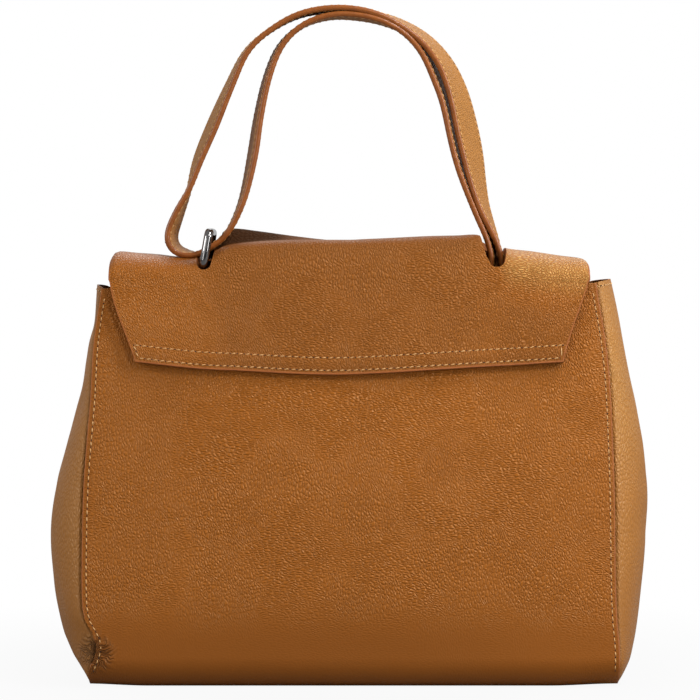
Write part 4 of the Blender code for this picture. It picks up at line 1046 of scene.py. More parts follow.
# %% Flap sizes
HINGE_Y = 30.5 * MM
HINGE_Z = 238 * MM
FLAP_THICK = 3.8 * MM
FLAP_STAND = 4.5 * MM  # outer face of the flap in front of the panel
ARCH_FRONT_Y = wall_depth(HINGE_Z) + FLAP_STAND
ROOT_LOW = 202 * MM
CREST = in_metres([(-143, 250.2), (-141.6, 253.2), (-139, 254.7), (-128, 253.8), (-115, 252.8),
                   (-105, 251.6), (-93, 251.2), (-86, 253.5), (-80, 255.8), (-75, 258.4),
                   (-62, 260.4), (-42, 261.3), (0, 261.5), (8, 262), (36, 263.3), (64, 264.3),
                   (77, 264.7), (84, 261), (92, 257), (110, 254.6), (128, 252), (139, 250.6),
                   (141.6, 249.2), (143, 246.5)])
REAR_RISE = in_metres([(-92, 0), (-86, 3), (-82.5, 8), (-78, 10), (-72, 10.6), (-57, 7.4),
                       (-42, 4.6), (-29, 2.6), (-13, 0.6), (-4, 0)])
FLAP_LOWER = in_metres([(-127, 190), (-104, 187.4), (-86, 185.7), (-65, 184.8), (-29, 182.9),
                        (-7, 182.5), (16, 183.3), (41, 184.8), (77, 187), (98, 188.1),
                        (126, 189.9)])


# %% Where the flap lies
ROOT_HALF = 143 * MM


def flap_point(u, w):
    """Outer face of the flap: w 0 to 1 up the back, 1 to 2 over the arch, 2 to 3 down the front."""
    side = 1 if u > 0 else -1
    if w <= 1:
        z = ROOT_LOW + (HINGE_Z - ROOT_LOW) * w
        x = u * ROOT_HALF
        low = min(z, MOUTH)
        return Vector((x, wall_depth(low) + belly(x, low) + 0.3 * MM + 1.2 * MM, z))
    if w <= 2:
        t = 2 * (w - 1)
        half = t if t <= 1 else 2 - t
        angle = math.pi / 2 * math.sin(math.pi / 2 * half) ** 2
        reach = HINGE_Y if t <= 1 else -ARCH_FRONT_Y
        x = u * flap_side(side, 260 * MM)
        power = 0.4 + 0.42 * ramp(72 * MM, 112 * MM, abs(x)) if t > 1 else 0.5
        share = math.sin(angle) ** 0.5
        flat = math.sqrt(max(1 - share ** (2 / power), 0.0))
        y = reach * flat ** power
        top = along(CREST, x) + along(REAR_RISE, x) * ramp(7 * MM, 17 * MM, y)
        z = HINGE_Z + (top - HINGE_Z) * share
        if t > 1:
            y += math.tan(TILT) * (z - HINGE_Z) * flat ** 2
        sag = 0.7 * MM * noise.noise(Vector((x / (45 * MM), y / (30 * MM), 8.1)))
        return Vector((x, y, z + sag * ramp(0.3, 0.9, math.sin(angle))))
    t = w - 2
    x = u * flap_side(side, HINGE_Z - (HINGE_Z - 188 * MM) * t)
    low = along(FLAP_LOWER, x)
    z = HINGE_Z + (low - HINGE_Z) * t
    x = u * flap_side(side, z)
    depth = wall_depth(z) + belly(x, min(z, MOUTH)) + FLAP_STAND
    up = z - low
    pad = 0.35 * MM * ramp(2.2 * MM, 4.5 * MM, up) * (1 - ramp(7.5 * MM, 9.7 * MM, up))
    wave = 0.8 * MM * noise.noise(Vector((x / (60 * MM), z / (40 * MM), 4.4)))
    wave *= ramp(0, 0.25, t) * (1 - ramp(0.85, 1.0, abs(u)))
    return Vector((x, -(depth + pad + wave), z))


# %% Painted shade and highlight on the flap
# Above 0 is painted shade, below 0 a painted highlight.
DIP_SHADE, FRONT_SHADE, CREST_SHADE, HANG_SHADE, BEND_HIGHLIGHT = 1.3, 0.19, 0.17, 0.18, 0.4


def flap_shade(point):
    """Painted shade in the dip beside the left ring, a little painted shade along the crest and
    low on the right, and a painted highlight where the right end bends over."""
    dip = DIP_SHADE * ramp(-92 * MM, -84 * MM, point.x)
    dip *= 1 - 0.6 * ramp(-66 * MM, -20 * MM, point.x)
    dip *= 1 - ramp(-20 * MM, 0, point.x)
    dip *= ramp(4 * MM, 10 * MM, point.y) * ramp(250 * MM, 257 * MM, point.z)
    dip *= 1 - ramp(17 * MM, 26 * MM, point.y)
    middle = 1 - ramp(66 * MM, 100 * MM, abs(point.x))
    below = point.z - along(CREST, point.x)
    crest = CREST_SHADE * ramp(-16 * MM, 0, below)
    # bent is a painted highlight where the right end bends over.
    bent = BEND_HIGHLIGHT * ramp(84 * MM, 98 * MM, point.x) * ramp(-28 * MM, -9 * MM, below)
    bent *= 1 - ramp(-12 * MM, 14 * MM, point.y)
    hang = HANG_SHADE * ramp(70 * MM, 100 * MM, point.x)
    hang *= 1 - ramp(-40 * MM, -24 * MM, below)
    hang *= 1 - ramp(-30 * MM, 0, point.y)
    return max(min(dip, 0.95), middle * (FRONT_SHADE + crest), hang) - bent


# %% Slots
def cut_slot(bm, x, radius, floor, left_flare, right_flare, rear=23 * MM):
    """Cut a flared U out of the flap's top, from its front face to rear."""
    top = 262 * MM
    rise = top - floor - radius
    planes = [((x - radius, 0, floor + radius), (-rise, 0, -left_flare)),
              ((x + radius, 0, floor + radius), (rise, 0, -right_flare)),
              ((0, rear, 0), (0, 1, 0))]
    for step in range(1, 12):
        angle = math.pi + math.pi * step / 12
        out = Vector((math.cos(angle), 0, math.sin(angle)))
        planes.append((Vector((x, 0, floor + radius)) + out * radius, out))
    near = [f for f in bm.faces if f.calc_center_median().z > floor - 8 * MM
            and abs(f.calc_center_median().x - x) < 3 * radius]
    count = cut_out(bm, near, planes)
    rim = [v for v in bm.verts if v.is_boundary and abs(v.co.x - x) < 3 * radius
           and v.co.z > floor - MM and v.co.y < rear + MM]
    bmesh.ops.remove_doubles(bm, verts=rim, dist=0.25 * MM)
    return count


flap_rows = (spread(0, 1, 12) + spread(1, 2, 64)[1:] + spread(2, 2.982, 38)[1:] + [3])
flap_columns = [-1, -0.994] + spread(-0.985, 0.985, 118) + [0.994, 1]


def flap_border(i, j):
    return i in (0, len(flap_columns) - 2) or j == len(flap_rows) - 2


def flap_smooth(point):
    """The grain is pulled flat along the top fold, beside the slots and in the sewn hem."""
    top = 0.35 * ramp(-4 * MM, 6 * MM, point.z - along(CREST, point.x) + 6 * MM)
    top *= 1 - ramp(88 * MM, 104 * MM, point.x)
    hem = 0.45 * (1 - ramp(2 * MM, 9 * MM, point.z - along(FLAP_LOWER, point.x)))
    return max(top, hem if point.y < 0 else 0.0)


bm = sheet_mesh(flap_columns, flap_rows, flap_point, (0, 0, 1), flap_shade, flap_smooth,
                flap_border)
for slot_place in ((-86.7 * MM, 4.4 * MM, 244 * MM, 1.6 * MM, 3.6 * MM),
                   (86.9 * MM, 5.6 * MM, 245.6 * MM, 6 * MM, 2 * MM)):
    print("slot: cut out", cut_slot(bm, *slot_place), "faces")
flap = add_piece("flap_leather", bm, panel_materials(TAN))
give_thickness(flap, FLAP_THICK, 0.5 * MM)
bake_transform(flap)
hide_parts("flap_outer", "flap_lining", "flap_stay", "crest_stay", "flap_root")
print("flap:", len(flap.data.polygons), "faces")


# %% Flap thread
HEM_HALF = 126 * MM
HEM_INSET = 2.6 * MM  # from the flap's side edge to the short rows
HEM_LOW, HEM_HIGH = 2.3 * MM, 9.7 * MM  # the long rows above the lower edge


def hem_place(u, up):
    """Place on the flap, in its own coordinates, of a point of the hem at a height up."""
    low = along(FLAP_LOWER, u * HEM_HALF)
    half = flap_side(1 if u > 0 else -1, low + up)
    return u * (1 - HEM_INSET / half), 3 - up / (HINGE_Z - low)


def hem_line(up):
    """A long row, along the flap's lower edge."""
    return surface_line(flap_point, [(hem_place(u, up), (0.01, -0.01), (0, -1, 0))
                                     for u in spread(-1, 1, 80)])


def hem_end(side):
    """A short row, up the side edge between the long ones."""
    return surface_line(flap_point, [(hem_place(side, up), (0.01 * -side, -0.01), (0, -1, 0))
                                     for up in spread(2.4 * MM, 9.6 * MM, 4)])


flap_thread = thread_row("flap_thread", [hem_line(HEM_LOW), hem_line(HEM_HIGH), hem_end(-1),
                                         hem_end(1)], seed=4)
body(flap_thread, "flap")


def root_line(up):
    pairs = [((u, up / (HINGE_Z - ROOT_LOW)), (0.01, 0.01), (0, 1, 0))
             for u in spread(-0.982, 0.982, 60)]
    return surface_line(flap_point, pairs)


root_thread = thread_row("root_thread", [root_line(2.4 * MM), root_line(24 * MM)], seed=5)
body(root_thread, "bag")

# %% [markdown]
# ## The strap
# The strap is one closed loop. Its outer strand goes through the left ring, turns back as the inner
# strand, and both strands meet again under the bar of the right ring. It is swept: a rounded
# cross-section follows stations along the loop, and at each station the band may lean, which is how
# the photograph shows its outer face on the right. A flat band like this is modelled directly.

# %% Strap path
STRAP_HALF = 15 * MM
STRAP_THICK = 3.3 * MM
CREST_LEVEL = 262 * MM
STRAP_SPAN = 100 * MM
STRAP_RISE = 138.3 * MM
RING_WIRE = 2.6 * MM
BEND_RADIUS = RING_WIRE + 0.45 * MM + STRAP_THICK / 2
RIGHT_BAR = (87.5 * MM, 239.5 * MM)
# Front edge of each strand: share of the span, share of the rise above the flap, sine of its lean
OUTER_STRAND = ((-0.980, -0.073, -0.08), (-1.040, -0.063, -0.10), (-1.084, -0.034, -0.12),
                (-1.099, 0.012, -0.12), (-1.081, 0.060, -0.12), (-1.030, 0.135, -0.06),
                (-0.961, 0.215, 0.06), (-0.890, 0.337, 0.18), (-0.795, 0.490, 0.22),
                (-0.700, 0.665, 0.16), (-0.600, 0.820, 0.10), (-0.430, 0.925, 0.06),
                (-0.266, 0.981, 0.03), (-0.075, 1.000, 0.0), (0.110, 0.984, 0.04),
                (0.268, 0.935, 0.14), (0.421, 0.853, 0.24), (0.528, 0.749, 0.32),
                (0.590, 0.625, 0.40), (0.634, 0.474, 0.45), (0.676, 0.349, 0.42),
                (0.714, 0.250, 0.34), (0.762, 0.150, 0.24), (0.812, 0.076, 0.16),
                (0.862, 0.010, 0.08), (0.905, -0.070, 0.03))
INNER_STRAND = ((-0.920, -0.068, -0.04), (-0.860, -0.045, 0.0), (-0.790, -0.014, 0.02),
                (-0.724, 0.034, 0.05), (-0.660, 0.120, 0.08), (-0.610, 0.220, 0.12),
                (-0.560, 0.375, 0.16), (-0.530, 0.530, 0.14), (-0.480, 0.700, 0.12),
                (-0.405, 0.835, 0.10), (-0.280, 0.925, 0.06), (-0.120, 0.968, 0.02),
                (0.030, 0.970, 0.0), (0.180, 0.947, 0.02), (0.320, 0.890, 0.10),
                (0.425, 0.804, 0.18), (0.500, 0.685, 0.20), (0.552, 0.580, 0.20),
                (0.602, 0.416, 0.19), (0.649, 0.295, 0.17), (0.714, 0.173, 0.15),
                (0.765, 0.085, 0.17), (0.814, 0.005, 0.17), (0.850, -0.085, 0.10))


def smooth_path(points, steps):
    """Catmull-Rom curve through points."""
    points = [Vector(p) for p in points]
    ends = [2 * points[0] - points[1]] + points + [2 * points[-1] - points[-2]]
    out = []
    for i in range(1, len(ends) - 2):
        a, b, c, d = ends[i - 1:i + 3]
        for step in range(steps):
            t = step / steps
            out.append(0.5 * ((2 * b) + (c - a) * t + (2 * a - 5 * b + 4 * c - d) * t * t
                              + (3 * b - a - 3 * c + d) * t * t * t))
    out.append(points[-1])
    return out


def strand_middle(shares):
    front = smooth_path([(x * STRAP_SPAN, CREST_LEVEL + z * STRAP_RISE, lean)
                         for x, z, lean in shares], 6)
    out = []
    for i, point in enumerate(front):
        before = front[max(i - 1, 0)]
        after = front[min(i + 1, len(front) - 1)]
        run = Vector((after.x - before.x, after.y - before.y)).normalized()
        shift = point.z * STRAP_HALF
        out.append((point.x - run.y * shift, point.y + run.x * shift, point.z))
    return out


right_bend = []
for step in range(1, 12):
    angle = -math.pi * step / 12
    right_bend.append((RIGHT_BAR[0] + BEND_RADIUS * math.cos(angle),
                       RIGHT_BAR[1] + BEND_RADIUS * math.sin(angle), 0.0))
outer = strand_middle(OUTER_STRAND)
inner = [(x, z, -lean) for x, z, lean in reversed(strand_middle(INNER_STRAND))]
strap_loop = outer + right_bend + inner
loop_points = [Vector((x, 0, z)) for x, z, _ in strap_loop]
print("strap loop is", round(distances(loop_points + loop_points[:1])[-1] / MM), "mm round")


# %% Bands
def even_stations(stations, step, closed):
    """Stations (x, z, lean) at even distances along a path, with its kinks smoothed."""
    path = [Vector(s) for s in (stations + stations[:1] if closed else stations)]
    lengths = distances([Vector((p.x, 0, p.y)) for p in path])
    count = round(lengths[-1] / step)
    out = []
    k = 0
    for i in range(count if closed else count + 1):
        at = lengths[-1] * i / count
        while k < len(lengths) - 2 and lengths[k + 1] < at:
            k += 1
        t = (at - lengths[k]) / max(lengths[k + 1] - lengths[k], 1e-9)
        out.append(path[k].lerp(path[k + 1], t))
    for _ in range(3):
        last = len(out) - 1
        out = [out[i] if not closed and i in (0, last)
               else (out[i - 1] + 2 * out[i] + out[(i + 1) % len(out)]) / 4
               for i in range(len(out))]
    return out


def band_frame(stations, i, closed):
    """Middle, direction across and outward face of a band at a station."""
    count = len(stations)
    if closed:
        here, before, after = (stations[k % count] for k in (i, i - 1, i + 1))
    else:
        here = stations[i]
        before, after = stations[max(i - 1, 0)], stations[min(i + 1, count - 1)]
    run = Vector((after.x - before.x, 0, after.y - before.y)).normalized()
    normal = Vector((-run.z, 0, run.x))
    across = Vector((0, math.sqrt(1 - here.z * here.z), 0)) + normal * here.z
    up = run.cross(across).normalized()
    if up.dot(normal) < 0:
        up = -up
    return Vector((here.x, 0, here.y)), across, up


def band_section():
    """The cross-section, (across, up) from -1 to 1: two faces with a thread groove near each
    edge, and a rounded edge between them."""
    out = []
    for side in (1, -1):
        for share in (0.93, 0.87, 0.83, 0.79, 0.6, 0.2, -0.2, -0.6, -0.79, -0.83, -0.87, -0.93):
            groove = 0.11 if abs(share) == 0.83 else 0.0
            out.append((share * side, (1.0 - groove) * side))
        for turn in (0.25, 0.5, 0.75):
            angle = math.pi * turn
            out.append((-(0.93 + 0.07 * math.sin(angle)) * side, math.cos(angle) * side))
    return out


FACE_POINTS = 12  # points of the section on each face
SECTION = band_section()


def band_mesh(stations, half, thickness, closed):
    """A leather band along its stations, with painted edges and a flat UV map."""
    rows = len(stations) - (0 if closed else 1)
    bm = bmesh.new()
    bmesh.ops.create_grid(bm, x_segments=len(SECTION), y_segments=rows, size=1)
    uv = bm.loops.layers.uv.new("flat")
    path = [Vector((p.x, 0, p.y)) for p in stations]
    along_path = distances(path + path[:1] if closed else path)
    around = distances([Vector((a * half, b * thickness / 2, 0)) for a, b in SECTION + SECTION[:1]])
    spot = {}
    for vert in bm.verts:
        i = round((vert.co.x + 1) / 2 * len(SECTION))
        j = round((vert.co.y + 1) / 2 * rows)
        middle, across, up = band_frame(stations, j, closed)
        a, b = SECTION[i % len(SECTION)]
        vert.co = middle + across * (a * half) + up * (b * thickness / 2)
        spot[vert] = (around[i], along_path[j], i)
    for face in bm.faces:
        column = min(spot[v][2] for v in face.verts) % (len(SECTION) // 2)
        face.material_index = 1 if column >= FACE_POINTS - 1 else 0
        for corner in face.loops:
            corner[uv].uv = spot[corner.vert][:2]
    bmesh.ops.remove_doubles(bm, verts=bm.verts, dist=0.00001)
    if not closed:
        caps = bmesh.ops.holes_fill(bm, edges=[e for e in bm.edges if e.is_boundary])["faces"]
        for face in caps:
            face.material_index = 1
    bmesh.ops.recalc_face_normals(bm, faces=bm.faces)
    return bm


STATIONS = even_stations(strap_loop, 2.4 * MM, True)
strap = add_piece("strap_leather", band_mesh(STATIONS, STRAP_HALF, STRAP_THICK, True),
                  [STRAP_TAN, EDGE_PAINT])
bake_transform(strap)
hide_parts("strap_outer_strand", "strap_inner_strand", "strap_bend_left",
            "strap_bend_right")
print("strap:", len(strap.data.polygons), "faces,", len(STATIONS), "stations")

# %% [markdown]
# The strap has a row of thread near each edge of both faces.


# %% Strap thread
def strap_line(edge, face):
    out = []
    for i in range(len(STATIONS) + 1):
        middle, across, up = band_frame(STATIONS, i, True)
        out.append((middle + across * (edge * 0.83 * STRAP_HALF)
                    + up * (face * STRAP_THICK / 2 * 0.92), up * face))
    return out


strap_thread = thread_row("strap_thread", [strap_line(e, f) for e in (-1, 1) for f in (-1, 1)],
                          seed=7, radius=0.36 * MM)
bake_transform(strap_thread)

# %% [markdown]
# ## Rings
# Each ring is a rectangle of round polished wire with rounded corners. A circle is pulled along the
# straight sides and spun round the corners.

# %% Rings
RING_HALF = 24 * MM
RING_MIDDLE = -5.5 * MM  # the rings stand nearer the front of the flap
LEFT_RING_HEIGHT = 20 * MM
RIGHT_RING_HEIGHT = 17 * MM
LEFT_RING_LEAN, RIGHT_RING_LEAN = 10, 45  # degrees
RING_CORNER = 4 * MM


def ring(name, place, lean, height, body_name, node):
    """A wire ring with its lower bar at place, leaning by an angle about Y."""
    bm = bmesh.new()
    made = bmesh.ops.create_circle(bm, segments=28, radius=RING_WIRE)["verts"]
    bmesh.ops.rotate(bm, verts=made, matrix=Matrix.Rotation(math.pi / 2, 3, "X"))
    edges = list(bm.edges)
    ways = (Vector((0, 1, 0)), Vector((0, 0, 1)), Vector((0, -1, 0)), Vector((0, 0, -1)))
    for index, way in enumerate(ways):
        after = ways[(index + 1) % 4]
        straight = (2 * RING_HALF if index % 2 == 0 else height) - 2 * RING_CORNER
        moved = bmesh.ops.extrude_edge_only(bm, edges=edges)["geom"]
        verts = [g for g in moved if isinstance(g, bmesh.types.BMVert)]
        edges = [g for g in moved if isinstance(g, bmesh.types.BMEdge)]
        bmesh.ops.translate(bm, verts=verts, vec=way * straight)
        middle = sum((v.co for v in verts), Vector()) / len(verts) + after * RING_CORNER
        spun = bmesh.ops.spin(bm, geom=verts + edges, cent=middle, axis=(1, 0, 0),
                              angle=math.pi / 2, steps=8, use_merge=False)["geom_last"]
        edges = [g for g in spun if isinstance(g, bmesh.types.BMEdge)]
    bmesh.ops.remove_doubles(bm, verts=bm.verts, dist=0.00001)
    low = [min(v.co[k] for v in bm.verts) for k in range(3)]
    high = [max(v.co[k] for v in bm.verts) for k in range(3)]
    bmesh.ops.translate(bm, verts=bm.verts,
                        vec=(0, RING_MIDDLE - (low[1] + high[1]) / 2, -low[2] - RING_WIRE))
    bmesh.ops.transform(bm, verts=bm.verts, matrix=Matrix.Translation(place)
                        @ Matrix.Rotation(math.radians(lean), 4, "Y"))
    bmesh.ops.recalc_face_normals(bm, faces=bm.faces)
    item = add_piece(name, bm, [GUNMETAL])
    body(item, body_name, node, slot="gunmetal")
    print(name, "width", round((high[1] - low[1]) / MM, 1), "height",
          round((high[2] - low[2]) / MM, 1))


LEFT_BAR = Vector((-87.1 * MM, 0, 246.3 * MM))
lean = math.radians(RIGHT_RING_LEAN)
RIGHT_LOW_BAR = Vector((RIGHT_BAR[0] - RIGHT_RING_HEIGHT * math.sin(lean), 0,
                        RIGHT_BAR[1] - RIGHT_RING_HEIGHT * math.cos(lean)))
ring("left_ring_wire", LEFT_BAR, LEFT_RING_LEAN, LEFT_RING_HEIGHT, "left_ring", "ring_left")
ring("right_ring_wire", RIGHT_LOW_BAR, RIGHT_RING_LEAN, RIGHT_RING_HEIGHT, "right_ring",
     "ring_right")

# %% [markdown]
# ## Chapes
# A chape is a folded leather loop that ties a metal ring to a bag. Each of these goes round its
# ring's lower bar and is sewn flat under the flap's top, so a pull on the strap reaches the flap.

# %% Chapes
CHAPE_HALF = 13 * MM
CHAPE_THICK = 1 * MM
CHAPE_TURN = RING_WIRE + 0.3 * MM + CHAPE_THICK / 2
CHAPE_PLY = (CHAPE_THICK + 0.3 * MM) / 2


def chape(name, node, bar, sewn_start, side, top):
    """A loop round the bar at (x, z) whose two ends lie flat from sewn_start on, at height top."""
    far = Vector((sewn_start + side * 26 * MM, top))
    start = Vector((sewn_start, top))
    to_bar = (bar - start).normalized()
    lean = Vector((-to_bar.y, to_bar.x)) * CHAPE_PLY
    if lean.y < 0:
        lean = -lean
    neck = bar - to_bar * (CHAPE_TURN * 2)
    outward = math.atan2(to_bar.y, to_bar.x)
    turn = [bar + Vector((math.cos(a), math.sin(a))) * CHAPE_TURN
            for a in spread(outward - math.radians(100), outward + math.radians(100), 14)]
    if (turn[0] - neck).dot(lean) < 0:
        turn.reverse()
    lift = Vector((0, CHAPE_PLY))
    points = ([far + lift, start + lift, neck + lean] + turn
              + [neck - lean, start - lift, far - lift])
    stations = even_stations([(p.x, p.y, 0.0) for p in points], 1.2 * MM, False)
    item = add_piece(name, band_mesh(stations, CHAPE_HALF, CHAPE_THICK, False),
                     [STRAP_TAN, EDGE_PAINT])
    body(item, "flap", node, slot="strap_leather")


def sewn_height(node, side):
    """Height of the chape's flat end in the CAD part."""
    points = [v.co for v in frame["nodes"][node].data.vertices]
    end = max(p.x * side for p in points)
    heights = [p.z for p in points if p.x * side > end - 0.1 * MM]
    return (max(heights) + min(heights)) / 2


chape("left_chape_leather", "chape_left", Vector((LEFT_BAR.x, LEFT_BAR.z)),
      LEFT_BAR.x + 24.9 * MM, 1, sewn_height("chape_left", 1))
chape("right_chape_leather", "chape_right", Vector((RIGHT_LOW_BAR.x, RIGHT_LOW_BAR.z)),
      RIGHT_BAR[0] - 26 * MM, -1, sewn_height("chape_right", -1))

# %% [markdown]
# ## Lining
# The lining is a loose cloth bag, a little smaller than the leather, with a window for the zip
# pocket cut in its back. It is drawn as one grid that runs round the bag and then closes on the
# floor. Soft waves keep it from looking like a box.

# %% Lining bag
LINING_INSET = 3.8 * MM
LINING_CLOTH_THICK = 0.6 * MM
LINING_FACE = LINING_INSET + LINING_CLOTH_THICK  # face of the lining below the leather's face
LINING_FLOOR = 5.4 * MM
RIM = MOUTH - 0.8 * MM
ZIP_LEVEL = MOUTH - 60 * MM
ZIP_HALF = 92 * MM
WINDOW_HALF = 5 * MM
ZIP_FRAME = (Matrix.Translation((0, wall_depth(ZIP_LEVEL) - LINING_FACE, ZIP_LEVEL))
             @ Matrix.Rotation(math.pi / 2 + TILT, 4, "X"))


def lining_point(c, r):
    """Inner face of the lining: c runs once round the bag from 0 to 4, r from -1 in the middle of
    the floor to 0 at its edge and 1 at the mouth."""
    z = LINING_FLOOR + (RIM - LINING_FLOOR) * max(r, 0) ** 1.25
    shrink = 1 + min(r, 0)
    side = int(c) % 4
    t = 2 * (c - int(c)) - 1
    depth = wall_depth(z) - LINING_FACE
    if side in (0, 2):
        flip = 1 if side == 0 else -1
        half = min(gusset_limit(-1, 1, z), gusset_limit(1, 1, z))
        x, y = flip * t * half, -flip * depth
    else:
        flip = 1 if side == 1 else -1
        y = flip * t * depth
        x = flip * gusset_limit(flip, t, z)
    wave = 0.7 * MM * noise.noise(Vector((x / (40 * MM), y / (30 * MM), z / (36 * MM) + 7)))
    wave = abs(wave) * ramp(0.0, 0.12, r) * ramp(0, 50 * MM, RIM - z)
    inward = Vector((0, y, 0)) if side in (0, 2) else Vector((x, 0, 0))
    point = Vector((x * shrink, y * shrink, z))
    if inward.length and abs(abs(t) - 1) > 0.02:
        point -= inward.normalized() * wave * (1 - abs(t)) * 2
    return point


def gusset_limit(side, t, z):
    """Half width that the lining has room for inside a gusset, at a share t of the depth."""
    angle = math.asin(max(min(t, 1), -1))
    seam = along(EDGES[side], z) - LIP
    reach = along(OUTLINES[side], z) - seam
    return seam + reach * 0.85 * math.cos(angle) ** GUSSET_ROUND - 4.2 * MM


def mesh_round(place, columns, rows, outward_check):
    """A closed loop of columns, drawn as a grid whose two ends are joined."""
    bm = sheet_mesh(columns, rows, place, outward_check)
    bmesh.ops.remove_doubles(bm, verts=bm.verts, dist=0.00002)
    return bm


lining_columns = []
for start in range(4):
    lining_columns += spread(start, start + 1, 44 if start % 2 == 0 else 22)[:-1]
lining_columns.append(4)
lining_rows = spread(-0.999, 0, 8) + spread(0, 1, 60)[1:]
bm = mesh_round(lining_point, lining_columns, lining_rows, (0, 0, 1))
bmesh.ops.recalc_face_normals(bm, faces=bm.faces)
if max(bm.faces, key=lambda f: f.calc_center_median().x).normal.x > 0:
    bmesh.ops.reverse_faces(bm, faces=bm.faces)
up_slope = (ZIP_FRAME.to_3x3() @ Vector((0, 1, 0))).normalized()
window = [(ZIP_FRAME @ Vector((0, WINDOW_HALF, 0)), up_slope),
          (ZIP_FRAME @ Vector((0, -WINDOW_HALF, 0)), -up_slope),
          ((ZIP_HALF, 0, 0), (1, 0, 0)), ((-ZIP_HALF, 0, 0), (-1, 0, 0))]
near = [f for f in bm.faces if f.calc_center_median().y > 0.02
        and abs(f.calc_center_median().z - ZIP_LEVEL) < 20 * MM
        and abs(f.calc_center_median().x) < ZIP_HALF + 12 * MM]
print("zip window: cut out", cut_out(bm, near, window), "faces")
lining = add_piece("lining_bag", bm, [LINING_CLOTH] * 3)
give_thickness(lining, LINING_CLOTH_THICK)
body(lining, "bag", "lining", slot="lining_cloth")
print("lining:", len(lining.data.polygons), "faces")


# %% Helpers for flat pieces inside
def inner_point(side, x, z, inset):
    """A point on the inner side of the front (-1) or back (1) wall, inset from its leather face."""
    return Vector((x, side * (wall_depth(z) - inset), z))


def inner_sheet(name, side, columns, rows, inset, thickness, materials, outline=None, bevel=0.0):
    """A flat piece sewn to the lining; outline moves a point (x, z) before it is placed."""
    def place(x, z):
        gape = 0.0
        if outline:
            x, z, gape = outline(x, z)
        return inner_point(side, x, z, inset + thickness + gape)
    bm = sheet_mesh(columns, rows, place, (0, -side, 0))
    item = add_piece(name, bm, materials)
    give_thickness(item, thickness, bevel)
    return item, place


def inner_lines(place, lists):
    """Thread lines on an inner sheet, each a list of (x, z)."""
    out = []
    for points in lists:
        line = []
        for x, z in points:
            here = place(x, z)
            line.append((here, Vector((0, -math.copysign(1, here.y), 0))))
        out.append(line)
    return out


# %% Facings
FACING_HALF = 139 * MM
FACING_THREAD_INSET = 2.5 * MM
facing_low = RIM - 36 * MM
facing_rows = spread(facing_low, RIM, 12)
facing_thread_places = spread(-FACING_HALF + 2 * MM, FACING_HALF - 2 * MM, 60)
for side, label in ((-1, "front"), (1, "back")):
    facing, place = inner_sheet("facing_leather_" + label, side,
                                spread(-FACING_HALF, FACING_HALF, 90), facing_rows,
                                LINING_FACE + 0.3 * MM, 1 * MM,
                                [INSIDE_TAN, EDGE_PAINT, INSIDE_TAN], bevel=0.25 * MM)
    body(facing, "bag", "facing_" + label, slot="facing_leather")
    levels = (facing_low + FACING_THREAD_INSET, RIM - FACING_THREAD_INSET)
    lines = inner_lines(place, [[(x, z) for x in facing_thread_places] for z in levels])
    body(thread_row("facing_thread_" + label, lines, seed=11), "bag")


# %% Slip pocket
POCKET_HALF = 70 * MM
POCKET_LOW, POCKET_TOP = 62 * MM, 180 * MM


def pocket_outline(x, z):
    """The pocket's mouth hangs open a little in the middle."""
    top = ramp(120 * MM, POCKET_TOP, z)
    across = 1 - (x / POCKET_HALF) ** 2
    return x, z - 1.2 * MM * top * across, 1.6 * MM * top * max(across, 0) ** 0.7


pocket, place = inner_sheet("slip_pocket_cloth", -1, spread(-POCKET_HALF, POCKET_HALF, 56),
                            spread(POCKET_LOW, POCKET_TOP, 48), LINING_FACE + 0.3 * MM, 0.8 * MM,
                            [LINING_CLOTH] * 3, pocket_outline)
body(pocket, "bag", "slip_pocket", slot="lining_cloth")
binding, bind_place = inner_sheet("slip_pocket_binding", -1,
                                  spread(-POCKET_HALF, POCKET_HALF, 56),
                                  spread(168 * MM, 180.4 * MM, 6), LINING_FACE + 1.2 * MM,
                                  0.7 * MM, [INSIDE_TAN, EDGE_PAINT, INSIDE_TAN], pocket_outline,
                                  bevel=0.2 * MM)
body(binding, "bag", slot="facing_leather")
u_line = ([(-67.5 * MM, z) for z in spread(166 * MM, 64.5 * MM, 30)]
          + [(x, 64.5 * MM) for x in spread(-67 * MM, 67 * MM, 40)]
          + [(67.5 * MM, z) for z in spread(65 * MM, 166 * MM, 30)])
bind_line = [(x, 170 * MM) for x in spread(-68 * MM, 68 * MM, 40)]
pocket_lines = inner_lines(place, [u_line]) + inner_lines(bind_place, [bind_line])
body(thread_row("pocket_thread", pocket_lines, seed=12), "bag")

# %% [markdown]
# ## Zip pocket
# The zip is built flat in its own frame and then laid on the back lining: X along the zip, Y up the
# slope, Z out of the lining. The teeth of the two tapes sit half a pitch apart, so that each goes
# into the gap between two others, as on a metal zip.

# %% Zip tapes and teeth
TAPE_THICK = 0.8 * MM
TAPE_HIGH = 9 * MM
ZIP_GAP = 3 * MM
TOOTH_PITCH = 2.5 * MM
SLIDER_LENGTH = 9 * MM
STEM_HALF = 0.5 * MM  # half width of a tooth where it grips the tape
HEAD_HALF = 0.72 * MM  # and where it meets the other row


def rounded_block(bm, low, high, bevel):
    """A box between two corners, with rounded edges."""
    made = bmesh.ops.create_cube(bm, size=1.0)["verts"]
    low, high = Vector(low), Vector(high)
    bmesh.ops.scale(bm, verts=made, vec=high - low)
    bmesh.ops.translate(bm, verts=made, vec=(low + high) / 2)
    edges = list({e for v in made for e in v.link_edges})
    bmesh.ops.bevel(bm, geom=edges, offset=bevel, segments=2, affect="EDGES", profile=0.5,
                    material=-1)


